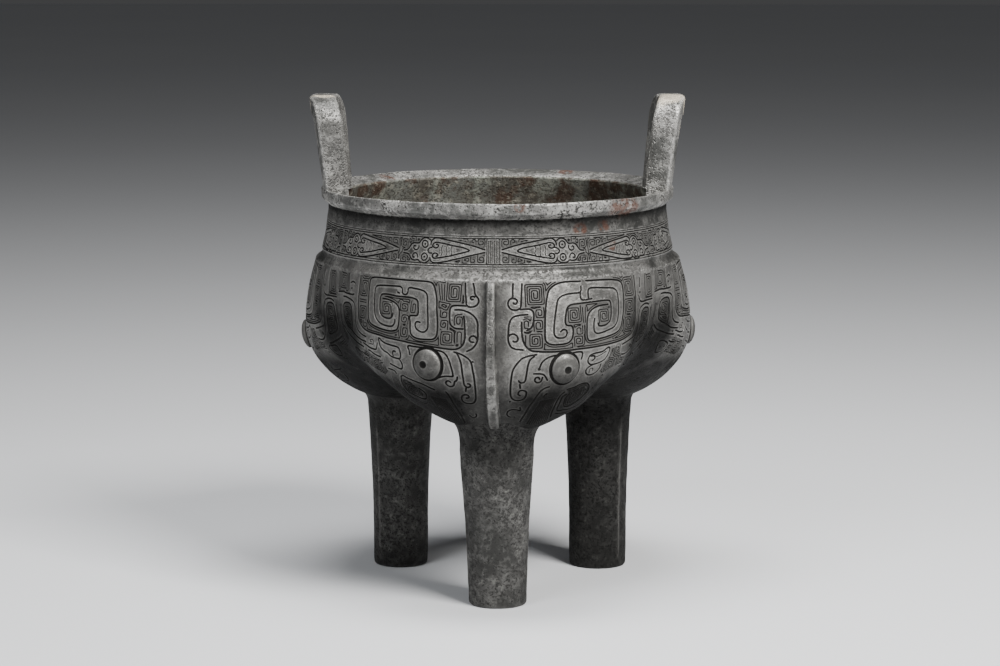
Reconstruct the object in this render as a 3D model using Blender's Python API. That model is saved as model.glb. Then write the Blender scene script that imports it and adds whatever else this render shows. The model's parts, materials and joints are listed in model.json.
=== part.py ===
"""Bronze tripod ding with three pouch-shaped lobes, columnar legs and two upright handles.

The vessel is one casting, so it is one solid. Its skin is drawn as a flat sheet for half a lobe,
with the mask and the neck band cut into it as V grooves, wrapped onto the lobed body and
repeated round the vertical axis. Legs, flanges, eyes and handles are cast on, and the bowl is
hollowed to its wall. Lengths are in millimetres and angles in degrees until a mesh is made.
The vessel stands on the plane z = 0 with one leg towards -Y.
"""

import math

import bmesh
import bpy
import numpy as np
from mathutils import Vector
from mathutils.geometry import delaunay_2d_cdt

MM = 0.001

# Body
LOBES = 3
LEG_LENGTH = 76.0
POUCH_DEPTH = 67.5
SHOULDER_RADIUS = 80.0
LEG_CIRCLE_RADIUS = 51.4
VALLEY_SOFTNESS = 3.5
WALL = 3.6

# Neck and rim
NECK_HEIGHT = 25.1
NECK_TOP_RADIUS = 74.1
NECK_FOOT_RADIUS = 77.0
BAND_SWELL = 0.6
BAND_TOP_DROP = 6.9
BAND_FOOT_DROP = 19.3
COVE_DROP = 21.3
LEDGE_EDGE = 0.7
BAR_WIDTH = 4.8
CICADA_GAP = 1.7
RIM_OVERHANG = 3.1
LIP_INSET = 2.5
RIM_THICKNESS = 5.6
RIM_UNDER_RISE = 1.2
RIM_UNDER_EDGE = 0.8
RIM_DISH = 2.5
RIM_EDGE = 0.5
MOUTH_EDGE = 0.9

# Legs
FOOT_RADIUS = 12.4
LEG_TOP_RADIUS = 15.6
LEG_FLARE = 1.6
LEG_FLARE_HEIGHT = 7.0
FOOT_EDGE = 0.8
LEG_ROOT = 5.0

# Flange on the middle of each lobe
FLANGE_WIDTH = 3.6
FLANGE_TOE_WIDTH = 2.4
FLANGE_HEIGHT = 3.4
FLANGE_ROOT = 1.5

# Handles
HANDLE_HEIGHT = 39.6
HANDLE_SPAN = 41.0
HANDLE_LIMB = 9.0
HANDLE_CORNER = 11.0
HANDLE_FOOT_THICKNESS = 10.4
HANDLE_TOP_THICKNESS = 12.0
HANDLE_LEAN = 6.4
HANDLE_EDGE = 0.7
HANDLE_ROOT = 4.0
HANDLE_TURN = 1.3
HANDLE_SET_IN = 0.1

# Eyes
EYE_PLACE = (28.9, 38.2)
EYE_RADIUS = 6.2
EYE_STAND = 3.0
PUPIL_RADIUS = 1.4
PUPIL_DEPTH = 1.0
EYE_GROOVE = 0.8

# Carving
SHEET_WIDTH = 84.0
SHEET_DEPTH = 89.0
LINE_WIDTH = 1.1
LINE_DEPTH = 0.6

# How far the bowl's cutter stands over the rim
CUTTER_OVERRUN = 10.0

# Mesh divisions
COLUMNS = 6
BOWL_COLUMNS = 5
POUCH_ROWS = 8
UNDERSIDE_ROWS = 3
LEG_SIDES = 20
EYE_SIDES = 10
MERIDIAN_STEPS = 60

HALF_LOBE = 180.0 / LOBES
POUCH_TOP = LEG_LENGTH + POUCH_DEPTH
NECK_TOP = POUCH_TOP + NECK_HEIGHT
RIM_TOP = NECK_TOP + RIM_UNDER_RISE + RIM_THICKNESS
RIM_RADIUS = NECK_TOP_RADIUS + RIM_OVERHANG
RIM_INNER_RADIUS = NECK_TOP_RADIUS - WALL - LIP_INSET
RIM_INNER_TOP = RIM_TOP - RIM_DISH
FRONT = -90.0

# Rows of one pouch from the shoulder to its tip. Each horizontal section of a pouch is a circle:
# share of the depth, share of the shoulder radius, share of the leg circle radius.
POUCH_ROWS_SHAPE = np.array([
    (0.000, 0.924, 0.140),
    (0.185, 0.892, 0.272),
    (0.378, 0.835, 0.418),
    (0.526, 0.764, 0.545),
    (0.644, 0.663, 0.671),
    (0.748, 0.534, 0.798),
    (0.847, 0.389, 0.901),
    (0.926, 0.248, 0.965),
    (0.976, 0.123, 0.992),
    (1.000, 0.000, 1.000),
])


def smooth_through(rows, count):
    """Points evenly spaced along a smooth curve through the rows."""
    steps = np.hypot(np.diff(rows[:, 0]), np.diff(rows[:, 1]))
    knots = np.concatenate([[0.0], np.cumsum(steps)])
    slopes = np.gradient(rows, knots, axis=0)
    place = np.linspace(0.0, knots[-1], count)
    low = np.clip(np.searchsorted(knots, place, side="right") - 1, 0, len(rows) - 2)
    gap = (knots[low + 1] - knots[low])[:, None]
    s = (place - knots[low])[:, None] / gap
    start = rows[low] * (1 + 2 * s) * (1 - s) ** 2 + slopes[low] * gap * s * (1 - s) ** 2
    end = rows[low + 1] * s * s * (3 - 2 * s) + slopes[low + 1] * gap * s * s * (s - 1)
    return start + end


ROW_TABLE = smooth_through(POUCH_ROWS_SHAPE, 1001)
ROW_HEIGHT = POUCH_TOP - ROW_TABLE[:, 0] * POUCH_DEPTH
ROW_RADIUS = np.maximum(ROW_TABLE[:, 1], 0.0) * SHOULDER_RADIUS
ROW_OFFSET = ROW_TABLE[:, 2] * LEG_CIRCLE_RADIUS
ROW_INDEX = np.arange(len(ROW_TABLE), dtype=float)


def crossing(values):
    """Row index at which a falling list of values reaches zero."""
    below = np.flatnonzero(values <= 0.0)
    if not len(below):
        return float(len(values) - 1)
    high = below[0]
    return high - 1 + values[high - 1] / (values[high - 1] - values[high])


def pouch_section(rows, angle, sign):
    """Radius and height on a pouch circle, on its far side (+1) or near side (-1)."""
    offset = np.interp(rows, ROW_INDEX, ROW_OFFSET)
    radius = np.interp(rows, ROW_INDEX, ROW_RADIUS)
    under_root = np.maximum(radius ** 2 - (offset * math.sin(angle)) ** 2, 0.0)
    reach = offset * math.cos(angle) + sign * np.sqrt(under_root)
    return np.stack([reach, np.interp(rows, ROW_INDEX, ROW_HEIGHT)], axis=1)


def evenly_spaced(line, count):
    """The line's points respaced to equal lengths."""
    gaps = np.hypot(*np.diff(line, axis=0).T)
    along = np.concatenate([[0.0], np.cumsum(gaps)])
    place = np.linspace(0.0, along[-1], count)
    return np.stack([np.interp(place, along, line[:, k]) for k in (0, 1)], axis=1)


def meridian(degrees):
    """Radius and height down the pouch's outside to its low point, then in to the axis."""
    from_valley = HALF_LOBE - abs(degrees)
    rounded = math.hypot(from_valley, VALLEY_SOFTNESS)
    rounded *= HALF_LOBE / math.hypot(HALF_LOBE, VALLEY_SOFTNESS)
    angle = math.radians(HALF_LOBE - rounded)
    lowest = crossing(ROW_RADIUS - ROW_OFFSET * math.sin(angle))
    dome = crossing(ROW_RADIUS - ROW_OFFSET)
    step = np.linspace(0.0, 1.0, 2 * MERIDIAN_STEPS)
    outside = pouch_section(lowest * (1 - (1 - step) ** 2), angle, 1)
    inside = pouch_section(lowest - (lowest - dome) * step ** 2, angle, -1)
    return evenly_spaced(outside, MERIDIAN_STEPS), evenly_spaced(inside, MERIDIAN_STEPS)


def neck_radius(drop, shoulder):
    """Radius of the neck at a drop below its top, meeting the lobed shoulder."""
    cove_top = COVE_DROP
    ledge = NECK_HEIGHT - LEDGE_EDGE
    drops = [0.0, 0.5 * BAND_TOP_DROP, BAND_TOP_DROP, BAND_FOOT_DROP, cove_top]
    drops += [0.5 * (cove_top + ledge), ledge, NECK_HEIGHT]
    radii = [NECK_TOP_RADIUS, NECK_TOP_RADIUS, NECK_TOP_RADIUS + BAND_SWELL, NECK_FOOT_RADIUS, NECK_FOOT_RADIUS]
    step = shoulder - NECK_FOOT_RADIUS
    radii += [NECK_FOOT_RADIUS + 0.15 * step, NECK_FOOT_RADIUS + 0.75 * step, shoulder]
    return np.interp(drop, drops, radii)


class Skin:
    """The vessel's outside as a flat sheet, across from a flange and down from the neck's top."""

    def __init__(self):
        self.angles = np.linspace(0.0, HALF_LOBE, 41)
        pairs = [meridian(angle) for angle in self.angles]
        self.outside = np.array([pair[0] for pair in pairs])
        self.inside = np.array([pair[1] for pair in pairs])

    def look_up(self, table, degrees, share):
        across = np.clip(degrees / HALF_LOBE * (len(self.angles) - 1), 0, len(self.angles) - 1.0001)
        down = np.clip(share * (MERIDIAN_STEPS - 1), 0, MERIDIAN_STEPS - 1.0001)
        i = across.astype(int)
        j = down.astype(int)
        fi = (across - i)[:, None]
        fj = (down - j)[:, None]
        near = table[i, j] * (1 - fj) + table[i, j + 1] * fj
        far = table[i + 1, j] * (1 - fj) + table[i + 1, j + 1] * fj
        return near * (1 - fi) + far * fi

    def profile(self, across, down):
        """Radius and height at a place on the sheet."""
        folded = SHEET_WIDTH - np.abs(SHEET_WIDTH - np.abs(across))
        degrees = folded / SHEET_WIDTH * HALF_LOBE
        share = (down - NECK_HEIGHT) / SHEET_DEPTH
        pouch = self.look_up(self.outside, degrees, np.clip(share, 0, 1))
        under = self.look_up(self.inside, degrees, np.clip(share - 1, 0, 1))
        shoulder = self.outside[:, 0, 0]
        neck = np.array([
            neck_radius(drop, np.interp(angle, self.angles, shoulder))
            for drop, angle in zip(down, degrees)
        ])
        result = np.where((share > 1)[:, None], under, pouch)
        on_neck = down < NECK_HEIGHT
        result[on_neck, 0] = neck[on_neck]
        result[on_neck, 1] = NECK_TOP - down[on_neck]
        return result

    def point(self, across, down):
        radius, height = self.profile(across, down).T
        angle = np.radians(FRONT + across / SHEET_WIDTH * HALF_LOBE)
        return np.stack([radius * np.cos(angle), radius * np.sin(angle), height], axis=1)

    def sunk(self, across, down, depth):
        """Points of the sheet, each sunk into the wall by its own depth."""
        step = 0.2
        right = self.point(across + step, down) - self.point(across - step, down)
        below = self.point(across, down + step) - self.point(across, down - step)
        inward = np.cross(right, below)
        length = np.linalg.norm(inward, axis=1)
        at_pole = length < 1e-6
        inward[at_pole] = (0.0, 0.0, 1.0)
        length[at_pole] = 1.0
        inward /= length[:, None]
        return self.point(across, down) + inward * np.asarray(depth, float)[:, None]


SKIN = Skin()


def arc(centre, radius, start, turn, steps):
    """Points along an arc, with angles clockwise on the sheet from its right."""
    angles = np.radians(np.linspace(start, start + turn, steps + 1))
    return [(centre[0] + radius * math.cos(a), centre[1] + radius * math.sin(a)) for a in angles]


def mask_lines():
    """The mask's main lines on half a lobe: across from the flange, down from the shoulder."""
    horn_root = [(57.5, 2.2), (28.5, 1.2), (22.3, 6.0), (20.3, 20.0), (23.0, 26.8), (31.0, 26.0)]
    horn_root += [(31.6, 19.7), (29.0, 18.4), (31.0, 10.6), (50.8, 10.2), (50.6, 17.8), (44.2, 20.4)]
    horn_tip = [(57.5, 2.2), (59.4, 5.0), (58.2, 19.0), (52.0, 25.2), (38.8, 26.4), (38.8, 17.5), (42.8, 12.8)]
    horn_groove = [(36.8, 5.7), (27.0, 7.8), (23.9, 23.2), (29.0, 23.2)]
    horn_far_groove = [(40.4, 8.9), (41.2, 4.6), (55.4, 6.0), (54.6, 20.0), (42.8, 23.4)]
    quill = [(8.2, 1.4), (6.8, 8.0), (9.0, 11.8), (11.8, 1.4)]
    snout = [(13.7, 14.0), (7.4, 15.6), (6.2, 24.5), (11.6, 28.4)]
    field_edge = [(11.1, 17.4), (13.2, 28.0), (24.0, 29.9), (50.0, 28.9), (66.0, 25.0), (69.5, 1.4)]
    jaw = [(16.7, 30.4), (9.4, 33.6), (6.8, 43.0), (8.2, 50.4), (13.0, 48.6)]
    brow = [(35.9, 30.6), (21.6, 31.8), (17.6, 37.6), (20.6, 41.5)]
    fang = [(23.0, 46.2), (17.4, 50.4), (13.6, 62.0)]
    almond = [(58.0, 47.0), (39.0, 46.8), (30.5, 59.0)]
    valley_band = [(78.0, 14.9), (71.8, 17.0), (68.0, 29.0)]
    eye_ring = arc(EYE_PLACE, EYE_RADIUS + EYE_GROOVE, 0, 360, 8)
    lines = [horn_root, horn_tip, horn_groove, horn_far_groove, quill, snout, field_edge]
    lines += [jaw, brow, fang, almond, valley_band, eye_ring]
    return [[(x, y + NECK_HEIGHT) for x, y in line] for line in lines]


def cicada_lines(start, flat):
    """One cicada blade of the neck band, its tip at start, with its two eyes."""
    middle = 0.5 * (BAND_TOP_DROP + BAND_FOOT_DROP)
    lines = [[(start + 6.8, middle), (start + 18.6, middle)]]
    outline = [(start, middle), (start + 20.5, middle - 4.8 * flat), (start + 21.5, middle)]
    lines += [outline + [(start + 20.5, middle + 4.8 * flat), (start, middle)]]
    for side in (-1, 1):
        lines += [arc((start + 26.2, middle + side * 2.8 * flat), 1.8 * flat, 45, 360, 4)]
    return lines


def band_lines():
    """The neck band on half a lobe, framed above and below, from the bar over the flange."""
    edge = 0.5 * BAR_WIDTH
    top = [(0.0, BAND_TOP_DROP), (SHEET_WIDTH, BAND_TOP_DROP)]
    foot = [(0.0, BAND_FOOT_DROP), (SHEET_WIDTH, BAND_FOOT_DROP)]
    bar = [(edge, BAND_TOP_DROP), (edge, BAND_FOOT_DROP)]
    first = edge + CICADA_GAP
    second = first + 0.5 * (SHEET_WIDTH - edge)
    return [top, foot, bar] + cicada_lines(first, 1.0) + cicada_lines(second, 0.9)


def beside(line, offset):
    """The line moved sideways, mitred at its corners."""
    line = np.asarray(line, float)
    ways = np.diff(line, axis=0)
    ways /= np.linalg.norm(ways, axis=1)[:, None]
    before = np.vstack([ways[:1], ways])
    after = np.vstack([ways, ways[-1:]])
    if np.allclose(line[0], line[-1]):
        before[0] = ways[-1]
        after[-1] = ways[0]
    mean = before + after
    mean /= np.maximum(np.linalg.norm(mean, axis=1), 1e-6)[:, None]
    mitre = 1.0 / np.maximum((mean * after).sum(axis=1), 0.55)
    return line + np.stack([-mean[:, 1], mean[:, 0]], axis=1) * (offset * mitre)[:, None]


def divided(line, longest):
    """The line with points added so that no stretch is longer than given."""
    result = [line[0]]
    for first, second in zip(line, line[1:]):
        count = math.ceil(math.dist(first, second) / longest)
        for k in range(1, count + 1):
            share = k / count
            across = first[0] + share * (second[0] - first[0])
            down = first[1] + share * (second[1] - first[1])
            result.append((across, down))
    return result


def distance_to(lines, points):
    """Distance from each point to the nearest line."""
    starts = np.vstack([np.asarray(line, float)[:-1] for line in lines])
    ends = np.vstack([np.asarray(line, float)[1:] for line in lines])
    ways = ends - starts
    lengths = np.maximum((ways ** 2).sum(axis=1), 1e-12)
    reach = points[:, None, :] - starts[None]
    share = np.clip((reach * ways[None]).sum(axis=2) / lengths, 0, 1)
    gap = reach - ways[None] * share[..., None]
    return np.sqrt((gap ** 2).sum(axis=2)).min(axis=1)


def carved_sheet(lines, edges, rows):
    """Flat triangles of half a lobe's sheet, with the depth of the carving at each point."""
    across = np.linspace(0.0, SHEET_WIDTH, COLUMNS + 1)
    lines = [divided(line, SHEET_WIDTH / COLUMNS) for line in lines]
    foot = rows[-1]
    points = [(x, y) for y in rows for x in across]
    distances = distance_to(lines, np.array(points))
    margin = 0.9 * LINE_WIDTH
    on_edge = [x in (across[0], across[-1]) or y in (rows[0], foot) for x, y in points]
    points = [p for p, d, keep in zip(points, distances, on_edge) if keep or d > margin]
    segments = []

    def add(line):
        first = len(points)
        points.extend((min(max(x, 0.0), SHEET_WIDTH), y) for x, y in line)
        segments.extend((first + i, first + i + 1) for i in range(len(line) - 1))

    add([(0.0, rows[0]), (0.0, foot)])
    add([(SHEET_WIDTH, rows[0]), (SHEET_WIDTH, foot)])
    for drop in edges:
        add([(x, drop) for x in across])
    for line in lines:
        add(line)
        add(beside(line, 0.5 * LINE_WIDTH))
        add(beside(line, -0.5 * LINE_WIDTH))
    flat, _, faces, _, _, _ = delaunay_2d_cdt(points, segments, [], 0, 1e-4)
    flat = np.array(flat)
    depth = LINE_DEPTH * np.clip(1 - distance_to(lines, flat) / (0.5 * LINE_WIDTH), 0, 1)
    return flat, [tuple(face) for face in faces], depth


def sheet_grid(rows, columns):
    """Plain quads of half a lobe's sheet between the given rows."""
    across = np.linspace(0.0, SHEET_WIDTH, columns + 1)
    flat = np.array([(x, y) for y in rows for x in across])
    width = columns + 1
    faces = []
    for j in range(len(rows) - 1):
        for i in range(columns):
            a = j * width + i
            faces.append((a, a + 1, a + width + 1, a + width))
    return flat, faces


def add_half_lobes(mesh, flat, faces, depth):
    """Wraps the sheet onto the vessel once for each half lobe."""
    right = SKIN.sunk(flat[:, 0], flat[:, 1], depth)
    left = right * (-1, 1, 1)
    for lobe in range(LOBES):
        angle = 2 * math.pi * lobe / LOBES
        cosine = math.cos(angle)
        sine = math.sin(angle)
        turn = np.array([[cosine, -sine, 0], [sine, cosine, 0], [0, 0, 1]])
        for half, mirrored in ((right, False), (left, True)):
            verts = [mesh.verts.new(MM * v) for v in half @ turn.T]
            for face in faces:
                order = face[::-1] if mirrored else face
                mesh.faces.new([verts[i] for i in order])


def ring(mesh, radius, height, columns):
    """A round row of points under the sheet's columns."""
    count = 2 * LOBES * columns
    points = []
    for i in range(count):
        angle = math.radians(FRONT + 360.0 * i / count)
        spot = (MM * radius * math.cos(angle), MM * radius * math.sin(angle), MM * height)
        points.append(mesh.verts.new(spot))
    return points


def join_rings(mesh, upper, lower):
    for i in range(len(upper)):
        j = (i + 1) % len(upper)
        mesh.faces.new((upper[i], upper[j], lower[j], lower[i]))


def close_ring(mesh, edge, height):
    centre = mesh.verts.new((0, 0, MM * height))
    for i in range(len(edge)):
        mesh.faces.new((edge[i], edge[(i + 1) % len(edge)], centre))


def finished_mesh(name, mesh):
    """A mesh with its doubles merged, its poles closed and its faces pointing out."""
    bmesh.ops.remove_doubles(mesh, verts=mesh.verts, dist=0.02 * MM)
    bmesh.ops.dissolve_degenerate(mesh, edges=mesh.edges, dist=0.005 * MM)
    bmesh.ops.triangulate(mesh, faces=mesh.faces)
    bmesh.ops.recalc_face_normals(mesh, faces=mesh.faces)
    data = bpy.data.meshes.new(name)
    mesh.to_mesh(data)
    mesh.free()
    data.shade_smooth()
    data.set_sharp_from_angle(angle=math.radians(35))
    return data


def vessel_body():
    """The outside of the bowl as a closed solid, carved and with its rim."""
    mesh = bmesh.new()
    lowest = NECK_HEIGHT + SHEET_DEPTH
    rows = [0.0, NECK_HEIGHT - LEDGE_EDGE, NECK_HEIGHT]
    rows += list(np.linspace(NECK_HEIGHT, lowest, POUCH_ROWS + 1)[1:])
    flat, faces, depth = carved_sheet(band_lines() + mask_lines(), (0.0, NECK_HEIGHT, lowest), rows)
    add_half_lobes(mesh, flat, faces, depth)
    under, under_faces = sheet_grid(np.linspace(lowest, lowest + SHEET_DEPTH, UNDERSIDE_ROWS + 1), COLUMNS)
    add_half_lobes(mesh, under, under_faces, np.zeros(len(under)))
    buried = 3.0
    slope = RIM_DISH / (RIM_RADIUS - RIM_INNER_RADIUS)
    inner = RIM_INNER_RADIUS - buried
    neck_rows = [
        (NECK_TOP_RADIUS, NECK_TOP),
        (RIM_RADIUS - RIM_UNDER_EDGE, NECK_TOP + RIM_UNDER_RISE),
        (RIM_RADIUS, NECK_TOP + RIM_UNDER_RISE + RIM_UNDER_EDGE),
        (RIM_RADIUS, RIM_TOP - RIM_EDGE),
        (RIM_RADIUS - RIM_EDGE, RIM_TOP),
        (inner, RIM_TOP - slope * (RIM_RADIUS - RIM_EDGE - inner)),
    ]
    rings = [ring(mesh, radius, height, COLUMNS) for radius, height in neck_rows]
    for lower, upper in zip(rings, rings[1:]):
        join_rings(mesh, upper, lower)
    close_ring(mesh, rings[-1], neck_rows[-1][1])
    return finished_mesh("vessel body", mesh)


def bowl_space():
    """The space inside the bowl, from over the rim down to the wall's inner face."""
    mesh = bmesh.new()
    lip = MOUTH_EDGE
    drop_rows = np.array([0.5 * BAND_TOP_DROP, 0.5 * NECK_HEIGHT, NECK_HEIGHT])
    pouch_rows = NECK_HEIGHT + SHEET_DEPTH * np.linspace(0, 1, POUCH_ROWS)[1:]
    under_rows = NECK_HEIGHT + SHEET_DEPTH * (1 + np.linspace(0, 1, UNDERSIDE_ROWS)[1:])
    flat, faces = sheet_grid(np.concatenate([drop_rows, pouch_rows, under_rows]), BOWL_COLUMNS)
    add_half_lobes(mesh, flat, faces, np.full(len(flat), WALL))
    top_row = SKIN.sunk(np.array([0.0]), drop_rows[:1], [WALL])[0]
    throat = [
        (-top_row[1], top_row[2]),
        (RIM_INNER_RADIUS, RIM_INNER_TOP - 3 * lip),
        (RIM_INNER_RADIUS, RIM_INNER_TOP - lip),
        (RIM_INNER_RADIUS + 1.5 * lip, RIM_INNER_TOP + 0.5 * lip),
        (RIM_INNER_RADIUS + 1.5 * lip, RIM_TOP + CUTTER_OVERRUN),
    ]
    rings = [ring(mesh, radius, height, BOWL_COLUMNS) for radius, height in throat]
    for lower, upper in zip(rings, rings[1:]):
        join_rings(mesh, upper, lower)
    close_ring(mesh, rings[-1], throat[-1][1])
    return finished_mesh("bowl space", mesh)


def leg_mesh():
    """One leg standing at the origin, flared where it joins its pouch."""
    flare_foot = LEG_LENGTH - LEG_FLARE_HEIGHT
    profile = [
        (0.0, LEG_LENGTH + LEG_ROOT),
        (LEG_TOP_RADIUS + LEG_FLARE, LEG_LENGTH + LEG_ROOT),
        (LEG_TOP_RADIUS + 0.7 * LEG_FLARE, LEG_LENGTH),
        (LEG_TOP_RADIUS, flare_foot),
        (FOOT_RADIUS + 0.36 * (LEG_TOP_RADIUS - FOOT_RADIUS), 0.55 * flare_foot),
        (FOOT_RADIUS, FOOT_EDGE),
        (FOOT_RADIUS - FOOT_EDGE, 0.0),
        (0.0, 0.0),
    ]
    mesh = bmesh.new()
    start = math.pi / LEG_SIDES
    way = (math.cos(start), math.sin(start))
    verts = [mesh.verts.new((MM * r * way[0], MM * r * way[1], MM * z)) for r, z in profile]
    edges = [mesh.edges.new(pair) for pair in zip(verts, verts[1:])]
    bmesh.ops.spin(
        mesh, geom=verts + edges, axis=(0, 0, 1), cent=(0, 0, 0), angle=2 * math.pi,
        steps=LEG_SIDES, use_merge=True,
    )
    return finished_mesh("leg", mesh)


def loft(name, sections):
    """A closed solid through sections with the same number of points."""
    mesh = bmesh.new()
    rings = [[mesh.verts.new(MM * np.asarray(p, float)) for p in section] for section in sections]
    for first, second in zip(rings, rings[1:]):
        join_rings(mesh, first, second)
    mesh.faces.new(rings[0])
    mesh.faces.new(rings[-1][::-1])
    return finished_mesh(name, mesh)


def flange_mesh():
    """The upright ridge on the middle of the front lobe, thinner and rounded at its toe."""
    shares = np.array([0.0, 0.02, 0.14, 0.28, 0.42, 0.56, 0.70, 0.78, 0.815])
    rises = np.array([0.80, 1.0, 1.0, 1.0, 1.0, 1.0, 0.95, 0.7, 0.05])
    sections = []
    for share, rise in zip(shares, rises):
        half = 0.5 * (FLANGE_WIDTH + (FLANGE_TOE_WIDTH - FLANGE_WIDTH) * share / shares[-1])
        half *= 0.6 if share == shares[-1] else 1.0
        top = FLANGE_HEIGHT * rise
        outline = [(-half, -FLANGE_ROOT), (-half, 0.75 * top), (-0.5 * half, top)]
        outline += [(0.5 * half, top), (half, 0.75 * top), (half, -FLANGE_ROOT)]
        down = NECK_HEIGHT + SHEET_DEPTH * max(share, 0.004)
        middle = SKIN.sunk(np.zeros(6), np.full(6, down), [-z for _, z in outline])
        sections.append([(x, p[1], p[2]) for (x, _), p in zip(outline, middle)])
    return loft("flange", sections)


def eye_mesh(side):
    """One domed eye of the front mask, with its pupil pit."""
    across = np.array([side * EYE_PLACE[0]])
    down = np.array([NECK_HEIGHT + EYE_PLACE[1]])
    centre = SKIN.sunk(across, down, [0.0])[0]
    outward = centre - SKIN.sunk(across, down, [1.0])[0]
    mesh = bmesh.new()
    rings = []
    tilt = np.cross((0.0, 0.0, 1.0), outward)
    tilt /= np.linalg.norm(tilt)
    up = np.cross(outward, tilt)
    spots = ((1.0, -1.0), (1.0, 0.2), (0.7, 0.8))
    pit = PUPIL_RADIUS / EYE_RADIUS
    spots += ((pit, 1.0), (0.6 * pit, 1.0 - PUPIL_DEPTH / EYE_STAND))
    for reach, rise in spots:
        circle = []
        for k in range(EYE_SIDES):
            angle = 2 * math.pi * k / EYE_SIDES
            flat = EYE_RADIUS * reach * (math.cos(angle) * tilt + 1.06 * math.sin(angle) * up)
            circle.append(mesh.verts.new(MM * (centre + flat + outward * EYE_STAND * rise)))
        rings.append(circle)
    for first, second in zip(rings, rings[1:]):
        join_rings(mesh, first, second)
    mesh.faces.new(rings[0])
    mesh.faces.new(rings[-1][::-1])
    return finished_mesh("eye", mesh)


def arch_path():
    """Middle line of a handle's arch: sideways and up from the rim, with the limb's way."""
    half = 0.5 * (HANDLE_SPAN - HANDLE_LIMB)
    top = HANDLE_HEIGHT - 0.5 * HANDLE_LIMB
    bend = HANDLE_CORNER - 0.5 * HANDLE_LIMB
    path = [(-half, -HANDLE_ROOT, 90.0), (-half, 0.5 * (top - bend), 90.0)]
    for angle in np.linspace(90, 0, 4):
        turn = math.radians(angle)
        path.append((-half + bend * (1 - math.sin(turn)), top - bend * (1 - math.cos(turn)), angle))
    mirrored = [(-x, z, -angle) for x, z, angle in path[::-1]]
    return path + mirrored


def handle_mesh():
    """The handle on the +X side, its plan following the rim."""
    sections = []
    edge = HANDLE_EDGE
    foot_radius = RIM_RADIUS - HANDLE_SET_IN - 0.5 * HANDLE_FOOT_THICKNESS
    for side, rise, way in arch_path():
        slope = math.radians(way)
        share = max(rise, 0.0) / HANDLE_HEIGHT
        growth = HANDLE_TOP_THICKNESS - HANDLE_FOOT_THICKNESS
        half_thick = 0.5 * (HANDLE_FOOT_THICKNESS + share * growth)
        middle = foot_radius + rise * math.tan(math.radians(HANDLE_LEAN))
        half = 0.5 * HANDLE_LIMB
        outline = [
            (half_thick, half - edge), (half_thick - edge, half), (edge - half_thick, half),
            (-half_thick, half - edge), (-half_thick, edge - half), (edge - half_thick, -half),
            (half_thick - edge, -half), (half_thick, edge - half),
        ]
        section = []
        for thick, across in outline:
            y = side - across * math.sin(slope)
            z = RIM_TOP + rise + across * math.cos(slope)
            radius = middle + thick
            turn = y / foot_radius
            section.append((radius * math.cos(turn), radius * math.sin(turn), z))
        sections.append(section)
    return loft("handle", sections)


def bronze():
    """Grey patinated bronze."""
    material = bpy.data.materials.new("patinated bronze")
    material.use_nodes = True
    surface = material.node_tree.nodes["Principled BSDF"]
    surface.inputs["Base Color"].default_value = (0.12, 0.13, 0.12, 1)
    surface.inputs["Metallic"].default_value = 0.6
    surface.inputs["Roughness"].default_value = 0.55
    return material


def place(name, data, collection, axis, turn=0.0, forward=0.0):
    """An object set forward of the vessel's axis and turned about it."""
    obj = bpy.data.objects.new(name, data)
    obj.rotation_euler.z = math.radians(turn)
    spot = Vector((0, -MM * forward, 0))
    spot.rotate(obj.rotation_euler)
    obj.location = spot
    obj.parent = axis
    collection.objects.link(obj)
    return obj


def helper_collection(name):
    collection = bpy.data.collections.new(name)
    bpy.context.scene.collection.children.link(collection)
    return collection


def join(obj, name, operation, collection):
    modifier = obj.modifiers.new(name, "BOOLEAN")
    modifier.operation = operation
    modifier.solver = "EXACT"
    modifier.operand_type = "COLLECTION"
    modifier.collection = collection
    for helper in collection.objects:
        helper.hide_render = True
        helper.display_type = "WIRE"


def main():
    for obj in list(bpy.data.objects):
        bpy.data.objects.remove(obj)
    shown = helper_collection("bronze tripod ding")
    cast_on = helper_collection("cast on")
    hollows = helper_collection("hollows")
    uprights = helper_collection("uprights")

    body = vessel_body()
    flange = flange_mesh()
    front = -min(v.co.y for v in flange.vertices)
    back = max(v.co.y for v in body.vertices)
    axis = bpy.data.objects.new("vessel axis", None)
    axis.location.y = 0.5 * (front - back)
    shown.objects.link(axis)

    leg = leg_mesh()
    eyes = {side: eye_mesh(side) for side in (-1, 1)}
    for lobe in range(LOBES):
        turn = 360.0 * lobe / LOBES
        place(f"leg {lobe}", leg, cast_on, axis, turn, LEG_CIRCLE_RADIUS)
        place(f"flange {lobe}", flange, cast_on, axis, turn)
        for side, eye in eyes.items():
            place(f"eye {lobe} {side}", eye, cast_on, axis, turn)
    place("bowl space", bowl_space(), hollows, axis)
    handle = handle_mesh()
    for turn in (0.0, 180.0):
        place(f"handle {turn:.0f}", handle, uprights, axis, turn + HANDLE_TURN)

    ding = place("ding", body, shown, axis)
    ding.data.materials.append(bronze())
    join(ding, "cast on", "UNION", cast_on)
    join(ding, "hollow", "DIFFERENCE", hollows)
    join(ding, "uprights", "UNION", uprights)


main()
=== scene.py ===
"""Looks of the bronze tripod ding.

The vessel's skin is drawn as a flat sheet for half a lobe, across from the flange and down from the
neck's top. The carving is cut into the sheet as grooves, wrapped onto the lobed body and repeated
round the vertical axis. Lengths are in millimetres until a mesh is made. The frame gives the place
of the vessel's axis, which stands in the middle of its three feet.
"""

import json
import math

import bmesh
import bpy
import numpy as np
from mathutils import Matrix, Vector, kdtree, noise
from mathutils.geometry import delaunay_2d_cdt


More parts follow.
